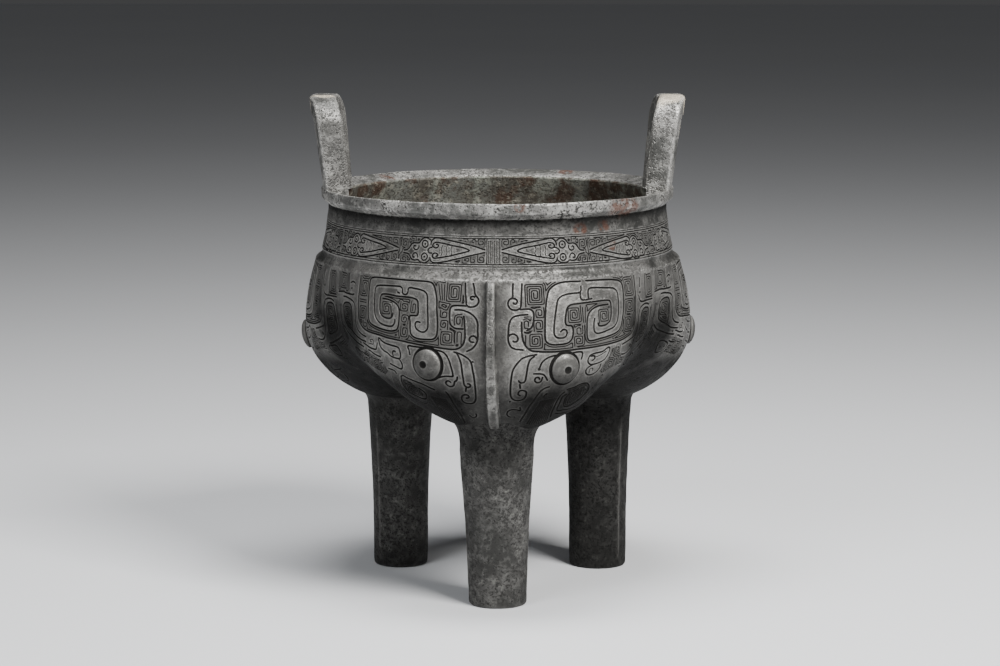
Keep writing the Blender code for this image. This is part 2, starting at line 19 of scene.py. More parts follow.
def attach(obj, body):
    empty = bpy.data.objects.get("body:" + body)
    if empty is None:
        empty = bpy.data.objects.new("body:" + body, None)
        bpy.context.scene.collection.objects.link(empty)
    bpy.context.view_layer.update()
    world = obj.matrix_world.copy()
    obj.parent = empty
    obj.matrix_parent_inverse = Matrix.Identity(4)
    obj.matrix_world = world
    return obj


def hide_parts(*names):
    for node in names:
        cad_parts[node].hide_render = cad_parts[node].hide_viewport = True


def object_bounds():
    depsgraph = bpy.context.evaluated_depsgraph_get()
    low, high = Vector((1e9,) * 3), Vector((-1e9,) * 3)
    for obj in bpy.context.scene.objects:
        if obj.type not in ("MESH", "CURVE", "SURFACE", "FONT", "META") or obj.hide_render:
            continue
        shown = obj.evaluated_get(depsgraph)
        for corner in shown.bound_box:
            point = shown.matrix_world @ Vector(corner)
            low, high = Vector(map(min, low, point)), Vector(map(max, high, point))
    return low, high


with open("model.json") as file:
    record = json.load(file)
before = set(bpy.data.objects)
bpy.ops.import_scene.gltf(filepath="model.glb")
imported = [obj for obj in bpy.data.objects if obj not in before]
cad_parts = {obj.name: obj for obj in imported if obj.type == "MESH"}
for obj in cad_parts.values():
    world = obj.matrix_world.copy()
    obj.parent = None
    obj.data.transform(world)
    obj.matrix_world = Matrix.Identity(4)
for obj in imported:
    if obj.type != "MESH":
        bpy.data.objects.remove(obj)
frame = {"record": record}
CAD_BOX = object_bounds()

bl_info = {
    "name": "Bronze tripod ding",
    "version": (1, 0, 0),
    "blender": (4, 5, 0),
    "location": "View3D > Sidebar > Ding",
    "description": "Makes a cast bronze ding with carved masks, a neck band and old patina",
    "category": "Object",
}

MM = 0.001
NOISE_SEED = 7
FEET = np.array([mount["pos_m"] for mount in frame["record"]["mounts"]])
AXIS = FEET.mean(axis=0)

# Vessel
LOBES = 3
HALF_LOBE = 180.0 / LOBES
FRONT = -90.0
LEG_LENGTH = 76.0
POUCH_DEPTH = 67.5
SHOULDER_RADIUS = 80.0
LEG_CIRCLE_RADIUS = 51.4
VALLEY_SOFTNESS = 3.5
NECK_HEIGHT = 25.1
NECK_FOOT_RADIUS = 77.0
POUCH_TOP = LEG_LENGTH + POUCH_DEPTH
NECK_TOP = POUCH_TOP + NECK_HEIGHT
RIM_RADIUS = 77.2
RIM_TOP = 175.4
RIM_INNER_RADIUS = 68.0
RIM_INNER_TOP = 172.9
SHEET_WIDTH = 84.0
SHEET_DEPTH = 89.0
MERIDIAN_STEPS = 200
ANGLE_STEPS = 121
THIRD = 360.0 / LOBES

# Rows of one pouch from the shoulder to its tip. Each horizontal section of a pouch is a circle:
# share of the depth, share of the shoulder radius, share of the leg circle radius.
POUCH_ROWS_SHAPE = np.array([
    (0.000, 0.924, 0.140),
    (0.185, 0.892, 0.272),
    (0.378, 0.835, 0.418),
    (0.526, 0.764, 0.545),
    (0.644, 0.663, 0.671),
    (0.748, 0.534, 0.798),
    (0.847, 0.389, 0.901),
    (0.926, 0.248, 0.965),
    (0.976, 0.123, 0.992),
    (1.000, 0.000, 1.000),
])

# Rows of the neck: drop below its top, radius, share of the step out to the lobed shoulder.
NECK_ROWS = np.array([
    (0.0, 74.1, 0.0),
    (3.4, 74.1, 0.0),
    (6.6, 74.6, 0.0),
    (12.0, 75.2, 0.0),
    (19.3, 76.9, 0.0),
    (20.5, 77.0, 0.0),
    (21.2, 76.6, 0.0),
    (22.2, 77.0, 0.04),
    (23.2, 77.0, 0.28),
    (24.0, 77.0, 0.66),
    (24.6, 77.0, 0.94),
    (25.1, 77.0, 1.0),
])


# --- Shape of the skin ---

def smooth_rows(rows, count):
    """Points evenly spaced along a smooth curve through the rows."""
    steps = np.hypot(np.diff(rows[:, 0]), np.diff(rows[:, 1]))
    knots = np.concatenate([[0.0], np.cumsum(steps)])
    slopes = np.gradient(rows, knots, axis=0)
    place = np.linspace(0.0, knots[-1], count)
    low = np.clip(np.searchsorted(knots, place, side="right") - 1, 0, len(rows) - 2)
    gap = (knots[low + 1] - knots[low])[:, None]
    s = (place - knots[low])[:, None] / gap
    start = rows[low] * (1 + 2 * s) * (1 - s) ** 2 + slopes[low] * gap * s * (1 - s) ** 2
    end = rows[low + 1] * s * s * (3 - 2 * s) + slopes[low + 1] * gap * s * s * (s - 1)
    return start + end


ROW_TABLE = smooth_rows(POUCH_ROWS_SHAPE, 1001)
ROW_HEIGHT = POUCH_TOP - ROW_TABLE[:, 0] * POUCH_DEPTH
ROW_RADIUS = np.maximum(ROW_TABLE[:, 1], 0.0) * SHOULDER_RADIUS
ROW_OFFSET = ROW_TABLE[:, 2] * LEG_CIRCLE_RADIUS
ROW_INDEX = np.arange(len(ROW_TABLE), dtype=float)


def crossing(values):
    """Row index at which a falling list of values reaches zero."""
    below = np.flatnonzero(values <= 0.0)
    if not len(below):
        return float(len(values) - 1)
    high = below[0]
    return high - 1 + values[high - 1] / (values[high - 1] - values[high])


def pouch_section(rows, angle, sign):
    """Radius and height on a pouch circle, on its far side (+1) or near side (-1)."""
    offset = np.interp(rows, ROW_INDEX, ROW_OFFSET)
    radius = np.interp(rows, ROW_INDEX, ROW_RADIUS)
    under_root = np.maximum(radius ** 2 - (offset * math.sin(angle)) ** 2, 0.0)
    reach = offset * math.cos(angle) + sign * np.sqrt(under_root)
    return np.stack([reach, np.interp(rows, ROW_INDEX, ROW_HEIGHT)], axis=1)


def length_of(line):
    """How long a line of points is."""
    return np.hypot(*np.diff(line, axis=0).T).sum()


def evenly_spaced(line, count):
    """The line's points respaced to equal lengths."""
    gaps = np.hypot(*np.diff(line, axis=0).T)
    along = np.concatenate([[0.0], np.cumsum(gaps)])
    place = np.linspace(0.0, along[-1], count)
    return np.stack([np.interp(place, along, line[:, k]) for k in (0, 1)], axis=1)


def meridian(degrees):
    """Radius and height down the pouch's outside to its low point, then in to the axis."""
    from_valley = HALF_LOBE - abs(degrees)
    rounded = math.hypot(from_valley, VALLEY_SOFTNESS)
    rounded *= HALF_LOBE / math.hypot(HALF_LOBE, VALLEY_SOFTNESS)
    angle = math.radians(HALF_LOBE - rounded)
    lowest = crossing(ROW_RADIUS - ROW_OFFSET * math.sin(angle))
    dome = crossing(ROW_RADIUS - ROW_OFFSET)
    step = np.linspace(0.0, 1.0, 2 * MERIDIAN_STEPS)
    outside = pouch_section(lowest * (1 - (1 - step) ** 2), angle, 1)
    inside = pouch_section(lowest - (lowest - dome) * step ** 2, angle, -1)
    return evenly_spaced(outside, MERIDIAN_STEPS), evenly_spaced(inside, MERIDIAN_STEPS)


class Skin:
    """The vessel's outside as a flat sheet, across from a flange and down from the neck's top."""

    def __init__(self):
        self.angles = np.linspace(0.0, HALF_LOBE, ANGLE_STEPS)
        pairs = [meridian(angle) for angle in self.angles]
        self.outside = np.array([pair[0] for pair in pairs])
        self.inside = np.array([pair[1] for pair in pairs])
        self.shoulder = self.outside[:, 0, 0]

    def look_up(self, table, degrees, share):
        """The table's radius and height at angles from the flange and shares of the way down."""
        across = np.clip(degrees / HALF_LOBE * (ANGLE_STEPS - 1), 0, ANGLE_STEPS - 1.0001)
        down = np.clip(share * (MERIDIAN_STEPS - 1), 0, MERIDIAN_STEPS - 1.0001)
        i = across.astype(int)
        j = down.astype(int)
        fi = (across - i)[:, None]
        fj = (down - j)[:, None]
        near = table[i, j] * (1 - fj) + table[i, j + 1] * fj
        far = table[i + 1, j] * (1 - fj) + table[i + 1, j + 1] * fj
        return near * (1 - fi) + far * fi

    def profile(self, across, down):
        """Radius and height at a place on the sheet."""
        folded = SHEET_WIDTH - np.abs(SHEET_WIDTH - np.abs(across))
        degrees = folded / SHEET_WIDTH * HALF_LOBE
        share = (down - NECK_HEIGHT) / SHEET_DEPTH
        result = self.look_up(self.outside, degrees, np.clip(share, 0, 1))
        below = share > 1
        result[below] = self.look_up(self.inside, degrees[below], np.clip(share[below] - 1, 0, 1))
        on_neck = down < NECK_HEIGHT
        drop = down[on_neck]
        step = np.interp(degrees[on_neck], self.angles, self.shoulder) - NECK_FOOT_RADIUS
        radius = np.interp(drop, NECK_ROWS[:, 0], NECK_ROWS[:, 1])
        radius += step * np.interp(drop, NECK_ROWS[:, 0], NECK_ROWS[:, 2])
        result[on_neck, 0] = radius
        result[on_neck, 1] = NECK_TOP - drop
        return result

    def point(self, across, down):
        """Points of the skin in the vessel's millimetres."""
        radius, height = self.profile(across, down).T
        angle = np.radians(FRONT + across / SHEET_WIDTH * HALF_LOBE)
        return np.stack([radius * np.cos(angle), radius * np.sin(angle), height], axis=1)

    def raised(self, across, down, height):
        """Points of the sheet, each lifted along the skin's outward way by its height."""
        across, down, height = np.broadcast_arrays(across, down, np.asarray(height, float))
        step = 0.25
        right = self.point(across + step, down) - self.point(across - step, down)
        below = self.point(across, down + step) - self.point(across, down - step)
        outward = np.cross(below, right)
        length = np.linalg.norm(outward, axis=1)
        at_pole = length < 1e-6
        outward[at_pole] = (0.0, 0.0, -1.0)
        length[at_pole] = 1.0
        outward /= length[:, None]
        return self.point(across, down) + outward * height[:, None]

    def under_place(self, plan):
        """Places on the sheet for points of the underside given in plan from the axis."""
        radius = np.hypot(plan[:, 0], plan[:, 1])
        degrees = np.degrees(np.arctan2(plan[:, 0], plan[:, 1]))
        degrees = np.clip(degrees, 0.0, HALF_LOBE)
        index = degrees / HALF_LOBE * (ANGLE_STEPS - 1)
        low = np.minimum(index.astype(int), ANGLE_STEPS - 2)
        part = index - low
        shares = np.linspace(0.0, 1.0, MERIDIAN_STEPS)
        places = []
        for k in range(len(plan)):
            line = self.inside[low[k], :, 0] * (1 - part[k]) + self.inside[low[k] + 1, :, 0] * part[k]
            share = np.interp(-radius[k], -line, shares)
            places.append((degrees[k] / HALF_LOBE * SHEET_WIDTH, NECK_HEIGHT + SHEET_DEPTH * (1 + share)))
        return np.array(places)


SKIN = Skin()


# --- Strokes of the carving ---

def smooth_line(points, spacing):
    """Points evenly spaced along a smooth curve through the given points."""
    points = np.asarray(points, float)
    closed = np.allclose(points[0], points[-1]) and len(points) > 3
    if closed:
        ends = np.vstack([points[-2], points, points[1]])
    else:
        ends = np.vstack([2 * points[0] - points[1], points, 2 * points[-1] - points[-2]])
    result = []
    for k in range(1, len(ends) - 2):
        a, b, c, d = ends[k - 1], ends[k], ends[k + 1], ends[k + 2]
        gap = max(np.linalg.norm(c - b), 1e-6)
        first = (c - a) / max(np.linalg.norm(c - a), 1e-6)
        last = (d - b) / max(np.linalg.norm(d - b), 1e-6)
        count = max(2, math.ceil(gap / 0.15))
        for s in np.linspace(0.0, 1.0, count, endpoint=False):
            place = b * (1 + 2 * s) * (1 - s) ** 2 + first * gap * s * (1 - s) ** 2
            place = place + c * s * s * (3 - 2 * s) + last * gap * s * s * (s - 1)
            result.append(place)
    result.append(points[-1])
    result = np.array(result)
    return evenly_spaced(result, max(2, math.ceil(length_of(result) / spacing) + 1))


def beside(line, offset):
    """The line moved sideways."""
    ways = np.diff(line, axis=0)
    ways /= np.maximum(np.linalg.norm(ways, axis=1), 1e-9)[:, None]
    before = np.vstack([ways[:1], ways])
    after = np.vstack([ways, ways[-1:]])
    if np.allclose(line[0], line[-1]):
        before[0] = ways[-1]
        after[-1] = ways[0]
    mean = before + after
    mean /= np.maximum(np.linalg.norm(mean, axis=1), 1e-6)[:, None]
    return line + np.stack([-mean[:, 1], mean[:, 0]], axis=1) * offset


class Stroke:
    """One groove: a smooth line with its width and depth, which may run on through the sheet's sides."""

    def __init__(self, points, width, depth, spacing, through=False):
        self.line = smooth_line(points, spacing)
        self.through = through
        self.closed = np.allclose(self.line[0], self.line[-1])
        self.width = width
        self.depth = depth

    def guides(self, heavy_from):
        """Lines that the sheet's edges follow, so that the groove has crisp sides."""
        half = 0.5 * self.width
        lines = [self.line]
        if self.closed:
            lines += [beside(self.line, half), beside(self.line, -half)]
        else:
            start = self.line[0] - self.line[1]
            end = self.line[-1] - self.line[-2]
            start = self.line[0] + start / max(np.linalg.norm(start), 1e-9) * half
            end = self.line[-1] + end / max(np.linalg.norm(end), 1e-9) * half
            right = beside(self.line, half)
            left = beside(self.line, -half)[::-1]
            lines += [np.vstack([start, right, end, left, start])]
        if self.width >= heavy_from:
            lines += [beside(self.line, 0.5 * half), beside(self.line, -0.5 * half)]
        return lines

    def depth_at(self, points):
        """Depth of this groove at each point, zero away from it."""
        half = 0.5 * self.width
        depth = np.zeros(len(points))
        low = self.line.min(axis=0) - half
        high = self.line.max(axis=0) + half
        near = np.flatnonzero(((points >= low) & (points <= high)).all(axis=1))
        if not len(near):
            return depth
        starts = self.line[:-1]
        ways = np.diff(self.line, axis=0)
        lengths = np.maximum((ways ** 2).sum(axis=1), 1e-12)
        reach = points[near][:, None, :] - starts[None]
        share = np.clip((reach * ways[None]).sum(axis=2) / lengths, 0, 1)
        gap = reach - ways[None] * share[..., None]
        distance = np.sqrt((gap ** 2).sum(axis=2)).min(axis=1)
        depth[near] = self.depth * np.clip(1 - (distance / half) ** 3, 0, 1)
        return depth


def spiral(centre, half_width, half_height, start, hand=1, pitch=0.86):
    """A leiwen: a squared spiral that winds in to its centre from one of its four sides."""
    def side(number):
        which = (start + hand * number) % 4
        upright = which % 2 == 0
        reach = (half_width if upright else half_height) - 0.25 * pitch * number
        return upright, reach if which < 2 else -reach, reach

    corners = []
    number = -1
    while min(side(number)[2], side(number + 1)[2]) > 0.28 * pitch:
        first = side(number)
        second = side(number + 1)
        x, y = (first[1], second[1]) if first[0] else (second[1], first[1])
        corners.append(np.array((x, y)))
        number += 1
    line = [corners[0]]
    for before, corner, after in zip(corners, corners[1:], corners[2:]):
        for other in (before, after):
            gap = np.linalg.norm(other - corner)
            line.append(corner + (other - corner) / gap * min(0.3, 0.4 * gap))
    line.append(corners[-1])
    return [(centre[0] + x, centre[1] + y) for x, y in line]


def ring_line(centre, radius, tall, steps):
    """A closed oval line, so many times as tall as wide."""
    line = []
    for k in range(steps + 1):
        angle = 2 * math.pi * (k % steps) / steps
        line.append((centre[0] + radius * math.cos(angle), centre[1] + radius * tall * math.sin(angle)))
    return line


def rows_between(first, last, count):
    """Lines spread evenly from one guide line to another."""
    first = evenly_spaced(np.asarray(first, float), 12)
    last = evenly_spaced(np.asarray(last, float), 12)
    return [first + (last - first) * k / max(count - 1, 1) for k in range(count)]


# --- The mask on the right of a flange: across from it, and down from the shoulder ---

HORN_NEAR = [
    (37.5, 1.1), (30, 1.0), (27.5, 1.4), (25, 2.4), (23, 4.2), (22, 7), (21.3, 10), (20.7, 15), (20.3, 20),
    (20.3, 24.3), (21, 25.8), (23, 26.8), (26, 27), (29, 26.8), (30.8, 25.8), (31.8, 24), (32, 20.5),
    (31.4, 19.6), (29.5, 19.3), (28.9, 18), (29.2, 15), (29.9, 12.5), (31, 11.2), (33, 10.6), (37, 10.4),
    (45, 10.1), (50.5, 10.2), (51.4, 10.8), (51.5, 14), (51.2, 17), (50.5, 19), (48.5, 20.3), (46, 20.7),
    (44.3, 20.4), (43.9, 19.3),
]
HORN_FAR = [
    (40, 1.1), (50, 1.4), (57, 2.2), (58.8, 3.3), (59.5, 5), (59.3, 10), (58.8, 15), (58, 19), (57, 22),
    (55, 24), (50, 25.3), (45, 26), (40, 26.6), (38.8, 26), (38.4, 24), (38.5, 20), (39, 17), (40, 14.8),
    (42, 13.2), (45, 12.1), (50, 11.9),
]
HORN_FAR_INNER = [
    (40.3, 8.9), (40.4, 6.5), (40.8, 4.9), (42, 4.3), (47, 4.5), (52, 5), (54.3, 5.5), (55.6, 6.8), (56, 9),
    (56, 13), (55.5, 17), (54.5, 20), (52.5, 21.8), (49, 22.8), (46, 23.5), (43.5, 23.7), (42.2, 23),
    (41.8, 21.5), (42, 19), (42.5, 17.3),
]
HORN_NEAR_INNER = [
    (37.4, 3.2), (36.8, 5.6), (33, 6), (30, 6.4), (27.8, 7.2), (26.4, 8.6), (25.8, 10.5), (25, 14),
    (24.2, 18), (23.9, 22), (24.2, 23.2), (25.2, 24.1), (27, 24.4), (28.5, 24), (29.3, 22.8), (29.4, 21.8),
    (28.8, 21.1), (27.8, 20.9), (26.6, 21.8),
]
HORN_TAB = [(36.8, 5.6), (36.6, 8), (37.2, 9), (39.5, 9.1), (42, 8.8)]
QUILL = [
    (8.2, 1.0), (8.0, 4), (7.8, 6.9), (6.6, 7.6), (6, 9), (6.1, 10.3), (7, 11.6), (8.5, 12), (10, 11.8),
    (10.9, 10.8), (11.2, 9), (11.5, 5), (11.9, 1.1),
]
QUILL_CURL = [(7.8, 7.1), (9, 7.4), (9.6, 8.2), (9.5, 9.2), (8.6, 9.6), (8, 9)]
SNOUT_TOP = [
    (10.8, 11.8), (14.3, 11.8), (15.5, 12.4), (16, 13.5), (15.9, 16), (15.5, 18.3), (14.6, 19.8),
    (13, 20.6),
]
SNOUT = [
    (13.7, 14), (10, 14.3), (8, 14.9), (6.9, 16.2), (6.3, 18), (6.1, 19.5), (5.9, 24), (6.4, 26),
    (7.3, 27.3), (9, 28), (11.6, 28.4),
]
SNOUT_CURL = [
    (6.1, 22.6), (7, 21.9), (8.2, 21.9), (9.2, 22.7), (9.6, 23.8), (9.2, 24.8), (8.2, 25), (7.7, 24.6),
]
FIELD_EDGE = [
    (11.1, 17), (11.1, 22), (11.6, 25), (12.6, 27), (14.5, 28.8), (17, 29.4), (20, 29.7), (25, 29.9),
    (35, 29.6), (45, 29.2), (52, 28.7), (58, 28), (62, 27), (65.5, 25.5), (67.3, 22), (67.8, 15), (67.9, 8),
    (67.9, 1.2),
]
JAW = [
    (16.7, 30.6), (13, 31.2), (11, 32), (9.5, 33.5), (8.4, 35), (7.5, 37), (7, 40), (6.8, 44), (6.8, 47),
    (7.2, 49), (8, 50.3), (9.5, 51), (11, 50.8), (12.3, 50), (13, 48.3), (13, 46.6), (12, 46), (11, 45.8),
    (10, 46.6), (9.9, 47.9), (10.8, 48.5),
]
JAW_INNER = [
    (15.8, 31.4), (14.3, 32.5), (13.4, 34.5), (13, 37), (12.6, 40), (12.2, 41.8), (11.3, 42.4), (10.2, 42),
    (9.8, 41.3),
]
BROW = [
    (35.6, 34), (36.1, 32), (35.9, 30.9), (30, 31.1), (25, 31.3), (22, 31.9), (20, 32.8), (18.8, 34),
    (18.2, 35.3), (17.7, 36.8),
]
WHISKER = [(15.6, 38.6), (18, 38.8), (19.5, 39.2), (20.5, 40.5), (21.3, 42)]
WHISKER_CURL = [
    (19.2, 40.4), (18.6, 42.3), (17.2, 42.7), (16.2, 41.6), (16.7, 40.3), (17.9, 40.5), (18, 41.3),
]
LOWER_CURL = [
    (11, 55), (11.2, 57), (9.5, 56.6), (7.5, 56.8), (6.3, 58), (5.9, 60), (6.4, 61.5), (7.5, 62.4),
    (9.3, 62.2),
]
FANG = [
    (22.3, 45.1), (20.5, 45.6), (18.9, 46.7), (17.4, 48.8), (16, 51.5), (14.7, 54.2), (13.7, 57.6),
    (12.6, 62), (12, 66),
]
EAR_LEAF = [
    (50.5, 30.4), (46.5, 31.8), (40.4, 32.6), (39, 34.5), (39.2, 35.8), (40.5, 36.9), (44.5, 36.8),
    (48, 35.5), (50, 33), (50.5, 30.4),
]
EAR_HOOK = [(40.5, 33.2), (42.3, 33.4), (42.4, 34.8), (41, 35.1)]
SECOND_LEAF = [
    (41.3, 37.4), (38.9, 38.6), (38.8, 40.6), (40.6, 42), (43.5, 41.8), (45.8, 39.8), (46.4, 37.4),
]
ALMOND = [
    (30.5, 47.7), (32.4, 47.3), (34.4, 47), (36.3, 46.3), (38.4, 45.9), (40.6, 46.3), (42.2, 47.6),
    (43, 49.4), (42.7, 51.5), (41.3, 53.7), (39.3, 55.6), (36.8, 57.1), (34.1, 57.9), (31.8, 57.5),
    (30.6, 56.1), (30.4, 54.3), (30.9, 51.9), (32.4, 50.2),
]
ALMOND_STRIP = [
    (30.8, 50.1), (29, 51.2), (28.3, 54.1), (27.7, 57), (28.1, 59.1), (29.6, 59.5), (31.5, 59.7),
    (34, 60.3), (37, 60.4), (40.6, 59.6), (43.4, 57.6), (45.8, 55), (48, 52.3),
]
ALMOND_SIDE = [(29.7, 48.7), (27.8, 50.2), (26.6, 52.9), (25.9, 55.8), (25.4, 59.7), (25.6, 63)]
ALMOND_LOW = [
    (27.5, 60.6), (28.9, 61.6), (31, 62.3), (34.3, 63), (39, 63.9), (43.5, 63.6), (47.5, 61.6), (51, 58.2),
]
ALMOND_TAIL = [(47.8, 54.4), (51, 54.2), (54.5, 53.6), (57.5, 52.2)]
JAW_LINE = [(10.3, 43), (10.6, 44.9)]
UNDER_FANG = [(21.4, 48.2), (20.7, 49), (20, 49.9)]
VALLEY_QUILL = [(72.1, 2.5), (71.7, 4.4), (71.5, 6.5)]
VALLEY_SIDE = [(76.6, 1.2), (76.2, 4), (76, 8), (75.9, 12.2)]
VALLEY_BROW = [(70.4, 9.8), (70.7, 11.6), (71.6, 12.5), (73.9, 12.9), (77.7, 12.7), (83, 12.6)]
VALLEY_BAND = [
    (80.2, 14.8), (78, 14.1), (75.6, 14.1), (73, 14.8), (71.5, 15.9), (70.6, 18), (70.3, 21), (69.9, 24),
    (69.1, 27.5), (67.8, 30.3), (66.6, 32.4), (64.2, 34.2), (61.5, 34.9), (59.3, 34.6),
]
VALLEY_UNDER = [(69.3, 26), (68, 27.2), (66, 28.1), (62.3, 29.2), (59, 30)]
VALLEY_INNER = [
    (79.6, 16.4), (78, 15.8), (75.6, 15.9), (73.7, 16.9), (72.8, 19), (72.8, 22), (72.4, 25.3),
    (71.4, 28.2), (71.2, 30.2), (72.6, 30.5), (75.4, 29.4), (78.2, 28.2), (79.8, 26), (80.3, 22),
    (80.2, 18.5), (79.6, 16.4),
]
VALLEY_LOW = [(68.8, 35.7), (71.6, 34.6), (74.7, 33.4), (78, 32), (81.5, 30.2)]
VALLEY_LEAF = [
    (66.5, 37.4), (69.5, 36.6), (73, 36.4), (72.8, 39.8), (71, 42.2), (68, 41.8), (66.2, 39.6),
    (66.5, 37.4),
]
EYE_PLACE = (28.4, 37.4)
EYE_ACROSS = 5.65
EYE_TALL = 1.13
EYE_STAND = 2.6
PUPIL_PLACE = (28.6, 37.3)
PUPIL_RADIUS = 1.65

# --- The mask on the left of a flange, as the carver cut it there ---

HORN_NEAR_LEFT = [
    (39, 0.8), (30, 0.8), (27.5, 0.9), (25.6, 1.4), (24.6, 2.5), (23.7, 4.7), (22.9, 7.6), (22.5, 11.8),
    (21.9, 16.5), (21.6, 20.6), (21.8, 22.9), (22.6, 24.4), (24.4, 25), (27.4, 25.1), (30, 24.9),
    (31.9, 24.3), (33.1, 23.2), (33.5, 21.2), (33.8, 18.2), (34.1, 15.9), (32.4, 15.6), (30.7, 15.3),
    (30.4, 14.1), (30.7, 11.8), (31.2, 9.4), (32.4, 8.5), (34.7, 8.1), (42, 7.9), (45.4, 7.6), (48.9, 7.7),
    (49.8, 8.5), (49.9, 11.8), (49.6, 14.7), (49.2, 15.9), (47.7, 17.1), (45.4, 17.7), (43.6, 17.6),
    (42.7, 16.8), (42.4, 15.3),
]
HORN_FAR_LEFT = [
    (38.8, 0.8), (49.2, 0.9), (55.2, 1.0), (56.8, 1.6), (57.3, 3), (57.1, 8.8), (56.8, 14.7), (56.4, 18.2),
    (55.4, 20.3), (53.9, 21.2), (51.2, 21.9), (48.3, 22.5), (43.9, 22.9), (40.9, 22.5), (39.8, 21.8),
    (39.3, 20.3), (39.2, 16.5), (39.6, 13.5), (40.6, 11.8), (42.4, 10.6), (45.4, 9.8), (48.6, 9.5),
]
HORN_LINE_LEFT = [
    (29.1, 18.3), (30.3, 17.9), (31.2, 18.5), (31.3, 19.9), (30.6, 21), (29, 21.9), (27.4, 22.1),
    (26.2, 21.2), (25.8, 20), (26, 16.5), (26.5, 11.8), (26.9, 8.2), (27.4, 6.2), (28.5, 5.1), (30.3, 4.5),
    (32.4, 4.2), (36, 4.1), (36.2, 5.9), (36.8, 6.9), (37.9, 7), (38.8, 6.5), (39, 5.3), (39.6, 4),
    (40.4, 3.8), (45.4, 3.9), (49.8, 4.1), (52.4, 4.4), (53.4, 5.1), (53.5, 7.6), (53.3, 11.2),
    (52.9, 14.7), (52.1, 17.4), (50.6, 19.1), (48.3, 20.3), (45.4, 20.9), (43, 20.9), (41.8, 20.3),
    (41.2, 19.1), (41.1, 17.9),
]
HORN_MARK_LEFT = [(40.1, 6.6), (41.3, 6.2)]
QUILL_LEFT = [
    (8.1, 0.9), (7.6, 3.2), (7.2, 5.6), (5.9, 7.2), (5.6, 8.5), (6.2, 9.9), (7.5, 10.7), (9.4, 10.8),
    (10.4, 10), (10.6, 8.8), (10.9, 6.5), (11.2, 2.9), (11.3, 0.9),
]
QUILL_CURL_LEFT = [(7.2, 6.7), (8.1, 6.4), (8.8, 6.6), (9.05, 7.2), (8.5, 7.8), (7.8, 7.7)]
SNOUT_TOP_LEFT = [
    (10.6, 10.4), (15.3, 10.4), (16.5, 10.9), (17, 12.4), (16.9, 15.9), (16.5, 18.2), (14.7, 19.7),
    (11.5, 19.9),
]
SNOUT_LEFT = [
    (15.1, 12.2), (12.9, 12.1), (10.9, 12.5), (8.8, 13.4), (7.1, 14.7), (6, 16.5), (5.7, 18.2), (5.7, 20.3),
    (5.6, 22.9), (5.9, 25), (6.6, 26.5), (7.9, 28.1), (9.7, 29.1),
]
SNOUT_CURL_LEFT = [(6, 23.7), (6.6, 22.9), (7.6, 22.6), (8.7, 23.4), (8.8, 24.4), (8.2, 25.1), (7.2, 25.2)]
FIELD_EDGE_LEFT = [
    (11.3, 14.6), (11, 16.5), (10.7, 20.3), (10.6, 23.5), (11, 25.6), (12.1, 27.4), (13.5, 28.2),
    (15.3, 28.5), (18.2, 28.4), (21.2, 28.2), (24.4, 27.9), (32.6, 27.2), (38, 26.6), (45, 25.9),
    (49.2, 25.3), (52.7, 25), (56.8, 24.4), (59.8, 23.5), (61.5, 22.4), (63, 20.6), (63.6, 18.8), (64, 14),
    (64, 8), (63.9, 1),
]
JAW_LEFT = [
    (14.7, 29.5), (12.6, 30.1), (10.3, 31.2), (8.5, 32.6), (7.8, 34.4), (7.4, 37), (7, 39.4), (6.8, 41.8),
    (6.6, 46.8), (6.8, 50.4), (7.4, 52), (8.6, 52.9), (10.6, 53), (11.9, 52.2), (12.4, 50.9), (12.2, 49.3),
    (11.5, 48.3), (10.3, 48.1), (9.4, 48.7), (9.6, 49.8), (10.6, 49.9),
]
JAW_INNER_LEFT = [
    (13.7, 29.9), (12.8, 31.5), (12, 33.8), (11.6, 36.5), (11.3, 39.1), (11.1, 41.2), (10.9, 43.3),
    (10.1, 44.3), (9.1, 44.4), (8.4, 43.6), (8.8, 42.7), (9.6, 42.8),
]
BROW_LEFT = [
    (33.3, 32.1), (33.8, 30.3), (34.3, 28.6), (32.4, 28.5), (26.5, 28.7), (20.6, 29.4), (18.8, 30),
    (17.6, 31.2), (16.6, 33.2), (15.9, 35.6), (15.3, 37.9), (15.1, 39.7),
]
WHISKER_LEFT = [(15.6, 39.9), (18.2, 40), (21.2, 41), (23.5, 42.4), (25.6, 42.9)]
WHISKER_CURL_LEFT = [
    (13.4, 39.9), (13.7, 41.4), (14.7, 42.2), (15, 43.7), (16.2, 44.6), (17.6, 44.1), (18.3, 42.9),
    (17.2, 41.9), (16.2, 42.6),
]
LOWER_CURL_LEFT = [(7.4, 59.8), (7.4, 61.5), (8.1, 63), (9.3, 63.3), (10.1, 62.1), (10.4, 61.1)]
FANG_LEFT = [
    (18.7, 47.4), (17.6, 49.2), (16.8, 51.5), (16, 54.2), (15.4, 55.9), (14.4, 60), (13.9, 65), (13.8, 69),
]
EAR_LEAF_LEFT = [
    (49.8, 26.6), (47.7, 27.8), (45.6, 28.5), (42.7, 29), (40.4, 29.3), (38.9, 29.7), (38.2, 31),
    (37.9, 33.2), (38.5, 34.3), (40.9, 34.2), (43, 33.8), (45.1, 32.5), (47.3, 31.6), (48.9, 30.3),
    (49.7, 28.2), (49.8, 26.6),
]
EAR_HOOK_LEFT = [(40.4, 31.5), (41.5, 31.2), (42.1, 31.9), (41.8, 33.3)]
SECOND_LEAF_LEFT = [
    (38.5, 34.8), (37.6, 36.2), (37.4, 37.6), (38.2, 39), (40.4, 38.6), (42.4, 37.9), (44.2, 37.3),
]
VALLEY_CURL_LEFT = [
    (50.9, 28.8), (51.5, 30.9), (52.1, 31.8), (54.5, 31.8), (56.8, 31.4), (59.2, 30.6), (61.2, 30),
]
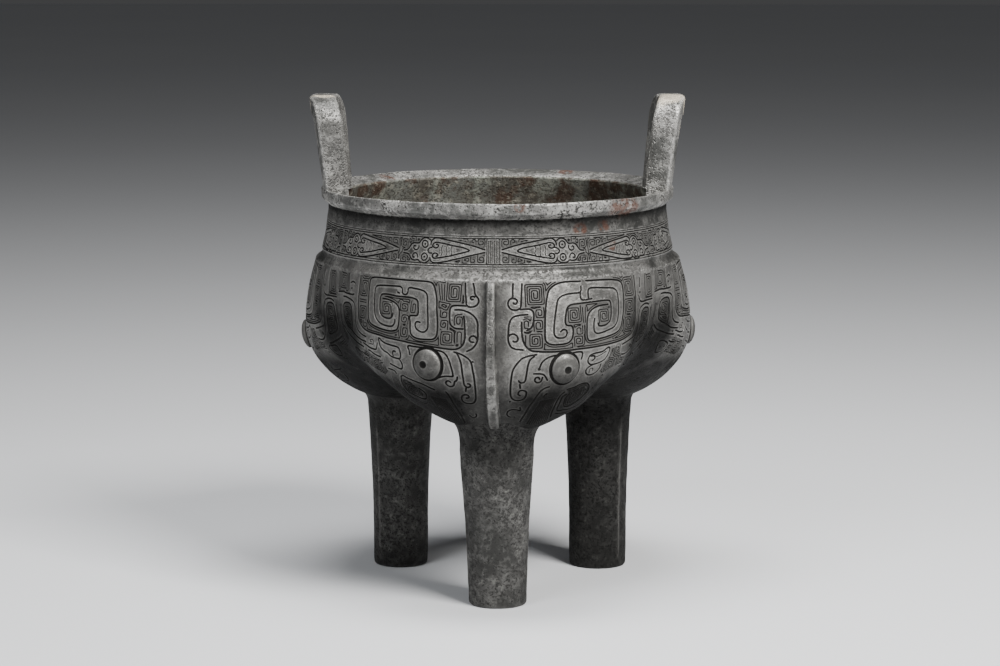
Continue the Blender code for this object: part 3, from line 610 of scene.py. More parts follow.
VALLEY_LINES_LEFT = [
    [(49.5, 34.9), (52.1, 34.5), (54.5, 33.8), (56.2, 33), (58, 32.7)],
    [(41.8, 41.8), (42.7, 40.6), (44.5, 40.1), (46.2, 39.9)],
    [(61.5, 31.8), (64.5, 31.2), (67.4, 30.6), (69.8, 29.8), (73.5, 28.6), (77.5, 27), (80.6, 24.5)],
    [
        (78.8, 19.6), (77.8, 22.2), (75.4, 23.9), (72.2, 25.1), (70.4, 26), (68.3, 27), (65.7, 28),
        (62.2, 28.8), (59, 29.3),
    ],
    [(58.8, 35.9), (62.3, 35.2), (64.6, 34.3)],
    [
        (64.6, 35.9), (67, 34.4), (69.4, 33.6), (72, 33.7), (72, 36.8), (70.8, 39.4), (68, 40),
        (65.4, 38.7), (64.6, 35.9),
    ],
]
ALMOND_TOP_LEFT = [
    (39.6, 43), (38.2, 42.1), (36.8, 42.8), (32.4, 44.1), (28.8, 45), (26.5, 45.9), (23.5, 47),
]
ALMOND_LEFT = [
    (31.2, 47.6), (28.9, 49.2), (28.3, 51.2), (29.1, 53.2), (31.2, 54), (32.9, 53.5), (35.3, 52.8),
    (37.3, 52), (39.2, 49.8), (40, 46.6), (39.6, 43),
]
LOBE_BORDER_LEFT = [(29, 55.4), (30, 56.8), (31.8, 57.3), (35.3, 56), (37.4, 55.2), (39.6, 53.3), (41, 50)]
JAW_LINE_LEFT = [(10.3, 45), (10.5, 46.4)]
VALLEY_SIDE_LEFT = [(72.9, 1), (72.6, 5), (72.2, 9.2)]
VALLEY_BROW_LEFT = [(67.5, 4.9), (68.5, 4.4), (69.8, 4.3), (71.3, 5)]
VALLEY_LIP_LEFT = [(67.7, 9.5), (69.4, 9.8), (71.2, 9.8), (75, 9.7), (77.6, 9.4), (80.5, 9.6), (83, 10)]
VALLEY_CHEEK_LEFT = [
    (77.6, 11.4), (74.9, 11.4), (72.9, 11.7), (70.1, 12.1), (68.1, 12.8), (66.9, 14.1), (66.4, 16.4),
    (66.3, 19.7), (66.1, 22.7), (64.4, 24.9), (61.6, 26.3), (58.6, 27),
]
VALLEY_BAND_LEFT = [
    (78.8, 19.6), (78.4, 16.4), (77.2, 14.5), (75.5, 13.9), (73.4, 13.7), (71.2, 13.9), (69.9, 15),
    (69.3, 17.4), (69.3, 20.9), (69.5, 23.6), (70.4, 26),
]
EYE_PLACE_LEFT = (25.5, 35.5)
PUPIL_PLACE_LEFT = (26.3, 35.1)


def wobbled(points, seed, amount):
    """Points shifted a little, as a hand-cut line wanders."""
    result = []
    for x, y in points:
        shift = noise.noise_vector(Vector((0.22 * x, 0.22 * y, seed)))
        result.append((x + amount * shift.x, y + amount * shift.y))
    return np.array(result)


def mask_heavy(left):
    """The wide grooves that outline a mask's parts."""
    if left:
        return [
            HORN_NEAR_LEFT, HORN_FAR_LEFT, HORN_LINE_LEFT, HORN_MARK_LEFT, QUILL_LEFT, QUILL_CURL_LEFT,
            SNOUT_TOP_LEFT, SNOUT_LEFT, SNOUT_CURL_LEFT, FIELD_EDGE_LEFT, JAW_LEFT, JAW_INNER_LEFT,
            BROW_LEFT, WHISKER_LEFT, WHISKER_CURL_LEFT, LOWER_CURL_LEFT, FANG_LEFT, EAR_LEAF_LEFT,
            EAR_HOOK_LEFT, SECOND_LEAF_LEFT, VALLEY_CURL_LEFT, ALMOND_TOP_LEFT, ALMOND_LEFT, JAW_LINE_LEFT,
            VALLEY_BROW_LEFT, VALLEY_LIP_LEFT, VALLEY_CHEEK_LEFT, VALLEY_BAND_LEFT, VALLEY_SIDE_LEFT,
        ] + VALLEY_LINES_LEFT
    return [
        HORN_NEAR, HORN_FAR, HORN_FAR_INNER, HORN_NEAR_INNER, HORN_TAB, QUILL, QUILL_CURL, SNOUT_TOP, SNOUT,
        SNOUT_CURL, FIELD_EDGE, JAW, JAW_INNER, BROW, WHISKER, WHISKER_CURL, LOWER_CURL, FANG, EAR_LEAF,
        EAR_HOOK, SECOND_LEAF, ALMOND, ALMOND_STRIP, ALMOND_SIDE, ALMOND_LOW, ALMOND_TAIL, JAW_LINE,
        UNDER_FANG, VALLEY_QUILL, VALLEY_SIDE, VALLEY_BROW, VALLEY_BAND, VALLEY_UNDER, VALLEY_INNER,
        VALLEY_LOW, VALLEY_LEAF,
    ]


def mask_fine():
    """The thin grooves of the ground on the right of a flange that have a course of their own."""
    lines = [
        spiral((17.0, 6.0), 4.0, 4.6, 2), spiral((18.4, 13.6), 1.8, 2.0, 0),
        spiral((17.9, 18.6), 1.9, 2.2, 2), spiral((13.2, 18.0), 1.2, 1.7, 1),
        spiral((16.4, 24.9), 2.8, 3.1, 1, -1), spiral((33.0, 15.0), 3.0, 3.4, 0),
        spiral((47.4, 16.5), 2.7, 2.9, 2), spiral((34.9, 21.8), 1.5, 1.7, 0),
        spiral((34.6, 26.0), 2.0, 2.0, 2), spiral((63.4, 5.6), 3.0, 3.9, 0),
        spiral((63.2, 13.6), 3.0, 3.1, 2), spiral((62.2, 20.8), 2.6, 3.0, 0),
        spiral((79.8, 6.4), 2.4, 4.2, 0), spiral((76.5, 19.8), 2.2, 2.4, 2),
        spiral((76.0, 25.6), 2.1, 1.9, 0), spiral((56, 31.8), 1.7, 1.6, 0),
        spiral((41.6, 39.7), 1.1, 1.1, 2), spiral((60.6, 38.2), 2.2, 1.4, 0),
        spiral((52.4, 38.6), 1.6, 1.6, 2),
    ]
    lines.append([(12.6, 22.6), (12.5, 26.2)])
    lines += rows_between([(37.0, 12.3), (36.9, 18.6)], [(38.3, 12.3), (37.8, 18.6)], 2)
    lines.append([(42, 34.2), (45.5, 33.2), (48.6, 32)])
    first = [(34.3, 54.6), (36.6, 53.8), (39, 51.6)]
    last = [(35.6, 50.9), (37.4, 50.2), (39, 48.8)]
    return lines + rows_between(first, last, 4)


def mask_fine_left():
    """The thin grooves of the ground on the left of a flange that have a course of their own."""
    lines = [
        spiral((15.6, 4.9), 3.1, 4.0, 0), spiral((13.2, 16.8), 1.3, 1.9, 2),
        spiral((19.3, 14.2), 1.5, 1.5, 0), spiral((19.2, 18.4), 1.6, 1.8, 2),
        spiral((17.7, 23.9), 2.6, 2.9, 1, -1), spiral((13, 23.6), 1.0, 2.6, 2),
        spiral((32.7, 12.3), 1.2, 2.3, 0), spiral((37, 12.2), 2.0, 1.9, 0),
        spiral((36.5, 17.3), 1.7, 1.9, 2), spiral((36.2, 22.7), 1.7, 2.3, 0),
        spiral((46.0, 13.6), 2.8, 2.9, 2), spiral((60.5, 6.0), 2.5, 3.6, 0),
        spiral((60.5, 16.6), 2.4, 2.9, 2), spiral((58.6, 21.4), 1.4, 1.2, 0),
        spiral((77.6, 4.9), 2.8, 3.1, 0), spiral((54.8, 28.5), 1.5, 1.2, 1),
        spiral((74.2, 18), 2.6, 2.6, 2), spiral((62.2, 38.4), 1.9, 1.4, 2),
        spiral((54.6, 38.2), 1.7, 1.4, 0), spiral((34.6, 49.2), 2.2, 1.9, 2),
    ]
    lines += rows_between([(20.0, 1.8), (19.6, 8.4)], [(22.6, 1.6), (21.2, 8.2)], 3)
    lines += rows_between([(58.4, 11.2), (62.9, 11.1)], [(58.4, 12.2), (62.9, 12.1)], 2)
    first = [(41.8, 44.4), (42, 50), (39.8, 54.4), (35.4, 57.4)]
    last = [(45.2, 44), (46.2, 51), (44, 57), (40.6, 61.5)]
    lines += rows_between(first, last, 5)
    return lines + [LOBE_BORDER_LEFT]


def fang_hatch():
    """Fine lines that sweep down beside the fang and over the lower cheek."""
    first = [(19.4, 51.6), (18, 54.6), (16.8, 58), (15.8, 62), (15.2, 67)]
    last = [(26, 51), (25, 54), (24.4, 57), (24, 61), (24.4, 66)]
    return rows_between(first, last, 10)


def mask_dots(left):
    """Round pits of the mask: place and radius."""
    if left:
        return [
            ((69.9, 7.1), 0.7), ((13.2, 57), 0.5), ((13.7, 61.9), 0.6), ((9.9, 66.6), 0.5),
            ((7.4, 33.2), 0.5), ((63.6, 30), 0.7), ((69.8, 36.8), 0.8), ((66.4, 37), 0.6),
            ((54.9, 41.2), 0.7), ((51.8, 36.6), 0.5),
        ]
    return [
        ((17.7, 36.8), 0.75), ((6.8, 51.6), 0.6), ((71.5, 8.8), 0.75), ((5.5, 66), 0.5), ((9.3, 62.2), 0.5),
        ((65.6, 31.2), 0.9), ((69.2, 39.4), 0.9), ((62.4, 41.4), 0.7), ((49.6, 43.6), 0.7),
        ((45.6, 50), 0.6),
    ]


# --- The neck band: across from a flange, and down from the neck's top ---

BAND_ACROSS = 1.07
BAND_MIDDLE = 13.2
BAND_PITCH = 0.84

# Width and depth of the band's grooves.
BAND_STROKE = (0.7, 0.46)
BAND_THIN_STROKE = (0.46, 0.34)
BAND_GROUND_STROKE = (0.46, 0.36)

# Lines that frame the band: drop below the neck's top, width, depth.
BAND_FRAME = ((7.25, 0.4, 0.3), (8.1, 0.56, 0.4), (18.75, 0.56, 0.4), (19.7, 0.5, 0.4))


def band_unit(start, middle, length, flat, wide_eye):
    """One long-armed cicada, its tip at start: heavy lines, thin lines, pits and its plain outlines."""
    def placed(points):
        return [(start + x * length, middle + y * flat) for x, y in points]

    upper = [
        (0.4, -0.5), (6.5, -2.3), (14, -3.8), (19.3, -4.7), (21.4, -4.9), (22.6, -4.3), (23.4, -3.2),
        (23.5, -2.1),
    ]
    lower = [(0.4, 0.6), (6.5, 2.1), (14, 4), (19.3, 5.1), (22, 5.2), (23.3, 4.3), (23.5, 3.2)]
    body = [
        (20.3, -3.1), (17.4, -2.6), (14.2, -2), (9.2, -1.1), (6.6, -0.1), (6.8, 0.2), (11.8, 1.5),
        (14.9, 2.3), (20, 3.2),
    ]
    curl_up = [
        (20.3, -3.1), (21.9, -2.9), (22.7, -1.7), (21.6, -0.8), (20.2, -1.2), (20.2, -2.1), (21.2, -2.1),
    ]
    curl_down = [(20, 3.2), (21.8, 3.4), (22.6, 2.4), (21.7, 1.3), (20.3, 1.6), (20.1, 2.4), (21, 2.5)]
    nose = [(22.9, -1.0), (24.1, -0.6), (24.7, 0.4), (23.9, 1.4), (22.8, 1.3)]
    over = [
        (23.8, -3.9), (24.7, -4.6), (25.9, -4.8), (27.3, -4.3), (28.3, -3.2), (29, -2.5), (31.3, -2.5),
        (32.6, -1.8), (33.4, -0.4), (34.3, 0.5), (36, 0.8),
    ]
    under = [
        (23.9, 4.3), (24.8, 5.1), (26.3, 5.4), (27.9, 5.1), (28.8, 4.3), (30.3, 4.6), (31.9, 4.2),
        (32.9, 2.9), (33.6, 2.2), (36, 1.8),
    ]
    hook_up = [
        (29.0, -1.7), (28.9, -0.6), (29.8, 0.3), (31.0, 0.1), (31.4, -0.7), (31.0, -1.4), (30.3, -1.2),
    ]
    hook_down = [(29.1, 3.4), (29.3, 2.4), (30.1, 1.6), (31.1, 1.9), (31.6, 2.7), (31.2, 3.5), (30.5, 3.3)]
    lines = (upper, lower, body, curl_up, curl_down, nose, over, under, hook_up, hook_down)
    heavy = [placed(line) for line in lines]
    eyes = placed([(26.1, -2.2), (26.1, 3.0)])
    heavy += [ring_line(eye, 1.45 * wide_eye, 1.0, 10) for eye in eyes]
    thin = [placed([(x, -2.0), (x + 0.5, -0.4), (x, 1.0), (x + 0.4, 2.3)]) for x in (14.1, 16.2, 18.3)]
    seeds = (
        (1.9, -3.5, 1.7, 1.5), (5.1, -3.8, 1.1, 1.0), (8.6, -4.4, 1.2, 0.6), (1.8, 3.4, 1.5, 1.5),
        (5.1, 3.9, 1.1, 1.1), (8.4, 4.5, 1.3, 0.7), (35.6, -2.3, 1.5, 1.7), (35.7, 4.3, 1.5, 1.3),
        (31.6, -4.5, 1.3, 0.9),
    )
    for x, y, wide, tall in seeds:
        thin.append(spiral(placed([(x, y)])[0], wide, tall, 2 if y < 0 else 0, 1, 0.8))
    plains = [placed(upper + nose[1:4] + lower[::-1]), placed(over + under[::-1])]
    return heavy, thin, [(eye, 0.55) for eye in eyes], plains


def band_cutting(seed, lean):
    """The carved sheet of the neck over half a lobe, with its whole band."""
    strokes = []
    pits = []
    plains = []
    for drop, width, depth in BAND_FRAME:
        line = [(x, drop) for x in np.linspace(0.0, SHEET_WIDTH, 12)]
        strokes.append(Stroke(line, width, depth, 0.95, True))
    for x in (0.55, 1.3, 2.05):
        strokes.append(Stroke([(x, 8.9), (x, 12), (x, 18.2)], 0.44, 0.34, 0.8))
    strokes.append(Stroke([(2.85, 8.6), (2.85, 13), (2.85, 18.4)], 0.56, 0.42, 0.8))
    units = ((3.4, BAND_MIDDLE, 1.0, 1.0, 1.0), (44.6, BAND_MIDDLE + lean, 0.985, 0.93, 0.93))
    for start, middle, length, flat, wide_eye in units:
        heavy, thin, dots, outlines = band_unit(start, middle, length * BAND_ACROSS, flat, wide_eye)
        for line in heavy:
            strokes.append(Stroke(wobbled(line, seed, 0.12), *BAND_STROKE, 0.65))
        for line in thin:
            strokes.append(Stroke(wobbled(line, seed + 2, 0.06), *BAND_THIN_STROKE, 0.6))
        pits += dots
        plains += outlines
    ground = [(3.3, 8.4), (83.3, 8.4), (83.3, 18.4), (3.3, 18.4)]
    for line in ground_lines(strokes, [ground], plains, 0.82, seed):
        strokes.append(Stroke(line, *BAND_GROUND_STROKE, 0.62))
    return Cutting(strokes, pits, [], 0.0, NECK_HEIGHT, BAND_PITCH, [ground], plains)


# --- Cutting the sheet ---

PITCH = 0.92

# Width and depth of the mask's grooves, and the width from which a groove gets inner edges.
HEAVY_STROKE = (0.88, 0.52)
THIN_STROKE = (0.58, 0.4)
HEAVY_FROM = 0.7

# How far strokes stay from the sheet's sides, and over what distance they fade in from there.
SIDE_MARGIN = 0.02
BORDER_FADE = 0.35

# The depth at which a groove is fully dark, how dark the dirt of the ground is, and how dark the painted
# shade on the eyes' lower halves is.
DARK_DEPTH = 0.34
GROUND_DIRT = 0.55
EYE_PAINTED_SHADE = 0.3


def tree_of(points):
    """A search tree of flat points."""
    tree = kdtree.KDTree(len(points))
    for k, (x, y) in enumerate(points):
        tree.insert((x, y, 0.0), k)
    tree.balance()
    return tree


def gap_to(tree, x, y):
    """How far a place is from the nearest point of a tree."""
    return tree.find((x, y, 0.0))[2]


def triangulated(points, segments, kind):
    """Flat triangles whose edges follow the segments: the points and the faces."""
    flat, _, faces, _, _, _ = delaunay_2d_cdt(points, segments, [], kind, 1e-4, False)
    return np.array([tuple(point) for point in flat]), np.array([tuple(face) for face in faces])


def border_points(top, foot, pitch):
    """The places along a sheet's top and along its side."""
    across = np.linspace(0.0, SHEET_WIDTH, round(SHEET_WIDTH / pitch) + 1)
    down = np.linspace(top, foot, round((foot - top) / pitch) + 1)
    return across, down


class Cutting:
    """Half a lobe's carved sheet: flat triangles with a height at each point."""

    def __init__(self, strokes, pits, bosses, top, foot, pitch, grounds, plains):
        self.strokes = strokes
        self.grounds = grounds
        self.plains = plains
        self.pits = pits
        self.bosses = bosses
        self.top = top
        self.foot = foot
        self.pitch = pitch
        self.points = []
        self.segments = []
        self.make()

    def add(self, line, side=SIDE_MARGIN, end=SIDE_MARGIN):
        """Adds a line for the edges to follow, kept clear of the sheet's sides and of its ends."""
        first = len(self.points)
        line = np.clip(line, (side, self.top + end), (SHEET_WIDTH - side, self.foot - end))
        self.points.extend(map(tuple, line))
        self.segments.extend((first + i, first + i + 1) for i in range(len(line) - 1))

    def make(self):
        """Triangulates the sheet along all guide lines, with a staggered grid between them."""
        across, down = border_points(self.top, self.foot, self.pitch)
        for drop in (self.top, self.foot):
            self.add([(x, drop) for x in across], 0.0, 0.0)
        for x in (0.0, SHEET_WIDTH):
            self.add([(x, drop) for drop in down], 0.0, 0.0)
        for stroke in self.strokes:
            for line in stroke.guides(HEAVY_FROM):
                self.add(line, 0.0 if stroke.through else SIDE_MARGIN)
        for place, radius in self.pits:
            self.add(ring_line(place, radius, 1.0, 8))
            self.add(ring_line(place, 0.55 * radius, 1.0, 6))
        for boss in self.bosses:
            for share in boss.rings():
                self.add(boss.ring(share))
        tree = tree_of(self.points)
        clear = 0.52 * self.pitch
        for j, y in enumerate(down[1:-1]):
            for x in across[1:-1] + (0.25 if j % 2 else -0.25) * self.pitch:
                if gap_to(tree, x, y) > clear and not any(boss.holds(x, y) for boss in self.bosses):
                    self.points.append((x, y))
        self.flat, self.faces = triangulated(self.points, self.segments, 0)
        self.cut()

    def cut(self):
        """Gives each point its height, its recess, and its dirt with painted shade."""
        depth = np.zeros(len(self.flat))
        x, y = self.flat.T
        from_border = np.minimum.reduce([x, SHEET_WIDTH - x, y - self.top, self.foot - y])
        quiet = np.clip(from_border / BORDER_FADE, 0, 1)
        for stroke in self.strokes:
            depth = np.maximum(depth, stroke.depth_at(self.flat) * (1.0 if stroke.through else quiet))
        for place, radius in self.pits:
            gap = np.hypot(*(self.flat - place).T)
            depth = np.maximum(depth, 0.5 * np.clip(1.3 * (1 - gap / radius), 0, 1))
        height = -depth
        for boss in self.bosses:
            height, depth = boss.apply(self.flat, height, depth)
        self.height = height
        self.recess = np.clip(depth / DARK_DEPTH, 0, 1)
        on_ground = np.zeros(len(self.flat), bool)
        for ground in self.grounds:
            on_ground |= within(self.flat, ground)
        for plain in self.plains:
            on_ground &= ~within(self.flat, plain)
        self.dirt_and_painted_shade = GROUND_DIRT * on_ground
        # Painted shade: each eye's dome grows darker towards its lower edge.
        for boss in self.bosses:
            below = 1 + (y - boss.place[1]) / boss.radius
            self.dirt_and_painted_shade = np.maximum(self.dirt_and_painted_shade, EYE_PAINTED_SHADE * below * (boss.reach(self.flat) < 1))


# Rings round an eye in millimetres outside its edge, and on its dome in shares of its radius.
EDGE_RINGS = (1.2, 0.75, 0.35, 0.08, -0.1)
DOME_RINGS = (0.9, 0.76, 0.6, 0.44)

# Depth of the groove round an eye at millimetres outside the eye's edge.
GROOVE_AT = (-0.1, 0.08, 0.75, 1.2)
GROOVE_DEPTHS = (0.0, 0.58, 0.58, 0.0)
PUPIL_DEPTH = 0.9


class Eye:
    """A domed eye standing from the sheet, with a pupil pit and a groove round it."""

    def __init__(self, place, radius, tall, stand, pupil_place, pupil):
        self.place = np.array(place)
        self.radius = radius
        self.tall = tall
        self.stand = stand
        self.pupil_place = np.array(pupil_place)
        self.pupil = pupil

    def rings(self):
        """Radii of the rings that the sheet's edges follow, as shares of the eye's radius."""
        edge = 1.0 / self.radius
        return [1 + gap * edge for gap in EDGE_RINGS] + list(DOME_RINGS)

    def ring(self, share):
        """One ring round the eye, finer near its edge."""
        steps = 64 if share > 0.8 else 40
        return ring_line(self.place, self.radius * share, self.tall, steps)

    def reach(self, points):
        """Distance from the eye's middle, one at its edge."""
        gap = points - self.place
        return np.hypot(gap[:, 0], gap[:, 1] / self.tall) / self.radius

    def holds(self, x, y):
        """Whether a place is left to the eye's rings."""
        return 0.4 < self.reach(np.array([(x, y)]))[0] < 1.0 + 1.5 / self.radius

    def apply(self, flat, height, depth):
        """The sheet's heights and depths with the dome, the groove and the pupil."""
        reach = self.reach(flat)
        edge = 1.0 / self.radius
        groove = np.interp(reach, [1 + gap * edge for gap in GROOVE_AT], GROOVE_DEPTHS)
        foot = 0.2 * self.stand
        dome = foot + (self.stand - foot) * np.sqrt(np.clip(1 - reach ** 2, 0, 1))
        on = reach < 1 - 0.05 * edge
        beside_eye = (reach >= 1 - 0.05 * edge) & (reach < 1 + 1.21 * edge)
        height = np.where(on, dome, np.where(beside_eye, -np.maximum(groove, -height), height))
        depth = np.where(on, 0.0, np.where(beside_eye, np.maximum(groove, depth), depth))
        gap = np.hypot(*(flat - self.pupil_place).T)
        pit = np.clip(1.6 * (1 - gap / self.pupil), 0, 1)
        height = height - PUPIL_DEPTH * pit * on
        depth = np.maximum(depth, 0.5 * pit * on)
        return height, depth


class Pupil:
    """Extra rings so that a pupil's pit is round."""

    def __init__(self, place, radius):
        self.place = place
        self.radius = radius

    def rings(self):
        """Radii of the rings, as shares of the pupil's radius."""
        return (1.0, 0.7, 0.36)

    def ring(self, share):
        """One ring round the pupil."""
        return ring_line(self.place, self.radius * share, 1.0, 20)

    def holds(self, x, y):
        """Whether a place is left to the pupil's rings."""
        return math.hypot(x - self.place[0], y - self.place[1]) < 1.25 * self.radius

    def reach(self, points):
        """Distance from the pupil's middle, one at its edge."""
        return np.hypot(*(points - self.place).T) / self.radius

    def apply(self, flat, height, depth):
        """Leaves the sheet as it is, since the eye sinks its own pupil."""
        return height, depth


# --- Ground round the mask's parts, filled with lines that follow them ---

PLAINS = [
    HORN_NEAR[:24] + [(37, 10.4), (39.9, 10.3), (39.9, 1.1)],
    HORN_FAR[:20] + [
        (45, 12.1), (45.5, 13.3), (44.2, 15.5),
    ] + HORN_NEAR[:24:-1] + [(40, 10.2)],
]
GROUNDS = [
    [
        (12.4, 0.8), (24.5, 0.8), (67.6, 0.8), (67.7, 8), (67.5, 15), (67, 22), (65.2, 25.3), (61.9, 26.8),
        (58, 27.8), (52, 28.5), (45, 29), (35, 29.4), (25, 29.7), (20, 29.5), (17, 29.2), (14.6, 28.6),
        (12.8, 26.8), (11.8, 24.9), (11.4, 22), (12.2, 21), (13.2, 20.8), (14.8, 20), (15.8, 18.4),
        (16.2, 16), (16.3, 13.4), (15.7, 12.2), (14.4, 11.5), (11.4, 11.4), (11.6, 9), (12, 5),
    ],
    [(11.4, 16.8), (12.2, 14.6), (15, 14.9), (15.3, 17.5), (14, 19.4), (12.6, 20.2), (11.4, 20.8)],
    [(76.8, 1.2), (83, 1.2), (83, 11.9), (76.2, 12), (76.3, 8), (76.5, 4)],
    VALLEY_INNER,
    [
        (81, 16.4), (83, 15.4), (83, 36), (79, 35), (76.6, 34), (79.4, 32.4), (81.8, 30.8), (82.2, 26),
        (81.6, 21),
    ],
    [
        (51.5, 31), (57, 30.4), (58.2, 34), (60, 35.8), (64, 36), (62, 39), (54, 41), (48, 42.5),
        (46.8, 41), (48.5, 37.5), (51, 34),
    ],
    ALMOND,
    [(20, 51), (23, 50), (26.6, 50.6), (25.4, 54), (24.8, 60), (24.8, 68), (15, 68), (16.4, 60), (18, 55)],
]

PLAINS_LEFT = [
    HORN_NEAR_LEFT[:27] + [(38.9, 8), (38.9, 0.8)],
    HORN_FAR_LEFT + [(48.6, 9.5), (46, 10.6), (43.4, 12.4)] + HORN_NEAR_LEFT[:27:-1] + [(38.9, 8)],
]
GROUNDS_LEFT = [
    [
        (11.7, 0.7), (24, 0.7), (57.9, 0.7), (63.7, 0.8), (63.8, 8), (63.8, 14), (63.3, 18.8), (62.7, 20.6),
        (61.3, 22.2), (59.7, 23.3), (56.7, 24.2), (52.7, 24.8), (49.2, 25.1), (45, 25.7), (38, 26.4),
        (32.6, 27), (24.4, 27.7), (21.2, 28), (18.2, 28.2), (15.3, 28.3), (13.6, 28), (12.3, 27.2),
        (11.3, 25.5), (10.9, 23.5), (11, 20.4), (11.5, 20.1), (14.9, 20), (16.8, 18.4), (17.2, 15.9),
        (17.2, 12.3), (16.7, 10.8), (11, 10.6), (11.3, 6.5), (11.6, 2.9),
    ],
    [(11.3, 14.4), (12, 13.5), (15.4, 13.4), (16.1, 14.8), (15.9, 17.9), (14.5, 19.3), (11.2, 19.5)],
    [(73.1, 0.9), (83, 0.9), (83, 9.6), (78.6, 9.2), (73.9, 9.2), (72.7, 9)],
    VALLEY_BAND_LEFT + [(72.2, 25.1), (75.4, 23.9), (77.8, 22.2)],
    [(79.8, 15), (83, 14.6), (83, 32), (79, 30.6), (78.4, 28), (81, 25.6), (81.6, 22), (80.6, 18.5)],
    [
        (58.5, 33.8), (61.5, 33), (63, 36.6), (64.5, 40), (58, 42), (50, 44), (46.8, 41.4), (48.2, 38),
        (50.2, 36.4), (54.5, 34.6),
    ],
    [
        (29.6, 50.6), (31.8, 47.9), (34, 45.4), (37.5, 43.6), (39.2, 44.5), (39.4, 48.6), (37.2, 51.2),
        (34.5, 52.3), (31, 52.8),
    ],
]


def within(points, outline):
    """Which of the points are inside a closed outline."""
    x, y = points.T
    result = np.zeros(len(points), bool)
    outline = np.asarray(outline, float)
    for (x0, y0), (x1, y1) in zip(outline, np.roll(outline, -1, axis=0)):
        rise = y1 - y0 if y1 != y0 else 1e-9
        result ^= ((y0 > y) != (y1 > y)) & (x < x0 + (y - y0) / rise * (x1 - x0))
    return result


def level_lines(values, low, step, level):
    """Lines on which a grid of values passes a level. Cells with a missing corner are left out."""
    above = values > level
    known = ~np.isnan(values)
    whole = known[:-1, :-1] & known[1:, :-1] & known[:-1, 1:] & known[1:, 1:]
    number = above[:-1, :-1].astype(int) + above[1:, :-1] + above[:-1, 1:] + above[1:, 1:]
    links = {}
    for j, i in np.argwhere(whole & (number > 0) & (number < 4)):
        corners = ((j, i), (j, i + 1), (j + 1, i), (j + 1, i + 1))
        sides = [(corners[a], corners[b]) for a, b in ((0, 1), (1, 3), (2, 3), (0, 2))]
        crossed = [side for side in sides if above[side[0]] != above[side[1]]]
        for first, second in zip(crossed[::2], crossed[1::2]):
            links.setdefault(first, []).append(second)
            links.setdefault(second, []).append(first)

    def place(side):
        (ja, ia), (jb, ib) = side
        share = (level - values[ja, ia]) / (values[jb, ib] - values[ja, ia])
        return (low[0] + step * (ia + share * (ib - ia)), low[1] + step * (ja + share * (jb - ja)))

    lines = []
    used = set()
    for start in sorted(links, key=lambda side: len(links[side])):
        if start in used:
            continue
        chain = [start]
        used.add(start)
        while True:
            following = [side for side in links[chain[-1]] if side not in used]
            if not following:
                break
            used.add(following[0])
            chain.append(following[0])
        line = [place(side) for side in chain]
        if len(chain) > 4 and start in links[chain[-1]]:
            line.append(line[0])
        lines.append(np.array(line))
    return lines


# The grid on which distances to the strokes are taken, and the gap of the points that stand for them.
GRID_STEP = 0.2
MARK_GAP = 0.16

# The farthest line from the strokes, and the shortest line that is cut.
FARTHEST = 12.0
SHORTEST = 1.5


def ground_lines(strokes, grounds, plains, pitch, seed):
    """Lines that fill the ground, each a pitch from the strokes or from the line before it."""
    corners = np.vstack([np.asarray(ground, float) for ground in grounds])
    low = corners.min(axis=0) - 2 * GRID_STEP
    size = np.ceil((corners.max(axis=0) + 2 * GRID_STEP - low) / GRID_STEP).astype(int) + 1
    across = low[0] + GRID_STEP * np.arange(size[0])
    down = low[1] + GRID_STEP * np.arange(size[1])
    places = np.stack(np.meshgrid(across, down), axis=2).reshape(-1, 2)
    chosen = np.zeros(len(places), bool)
    for ground in grounds:
        chosen |= within(places, ground)
    for plain in plains:
        chosen &= ~within(places, plain)
    marks = []
    for stroke in strokes:
        marks.append(evenly_spaced(stroke.line, max(2, round(length_of(stroke.line) / MARK_GAP))))
    tree = tree_of(np.vstack(marks))
    values = np.full(len(places), np.nan)
    for k in np.flatnonzero(chosen):
        values[k] = gap_to(tree, *places[k])
    values = values.reshape(len(down), len(across))
    lines = []
    for level in np.arange(1.08 * pitch, FARTHEST, pitch):
        for line in level_lines(values, low, GRID_STEP, level):
            length = length_of(line)
            if length > SHORTEST:
                lines.append(evenly_spaced(line, max(4, round(length / 0.9))))
    return [wobbled(line, seed, 0.08) if not np.allclose(line[0], line[-1]) else line for line in lines]


def mask_cutting(left):
    """The carved sheet of a mask's right half, or of its left half."""
    seed = 7.0 if left else 3.0
    lower = (0, NECK_HEIGHT)
    strokes = [Stroke(wobbled(line, seed, 0.08) + lower, *HEAVY_STROKE, 0.62) for line in mask_heavy(left)]
    for line in (mask_fine_left() if left else mask_fine()) + fang_hatch():
        strokes.append(Stroke(wobbled(line, seed + 5, 0.05) + lower, *THIN_STROKE, 0.5))
    grounds = [np.array(ground) + lower for ground in (GROUNDS_LEFT if left else GROUNDS)]
    plains = [np.array(plain) + lower for plain in (PLAINS_LEFT if left else PLAINS)]
    for line in ground_lines(strokes, grounds, plains, 0.88, seed):
        strokes.append(Stroke(line, *THIN_STROKE, 0.64))
    pits = [((x, y + NECK_HEIGHT), radius) for (x, y), radius in mask_dots(left)]
    eye_place = np.array(EYE_PLACE_LEFT if left else EYE_PLACE) + lower
    pupil_place = np.array(PUPIL_PLACE_LEFT if left else PUPIL_PLACE) + lower
    eye = Eye(eye_place, EYE_ACROSS, EYE_TALL, EYE_STAND, pupil_place, PUPIL_RADIUS)
    bosses = [eye, Pupil(pupil_place, PUPIL_RADIUS)]
    strokes = [part for stroke in strokes for part in clear_of(stroke, eye)]
    return Cutting(strokes, pits, bosses, NECK_HEIGHT, NECK_HEIGHT + SHEET_DEPTH, PITCH, grounds, plains)


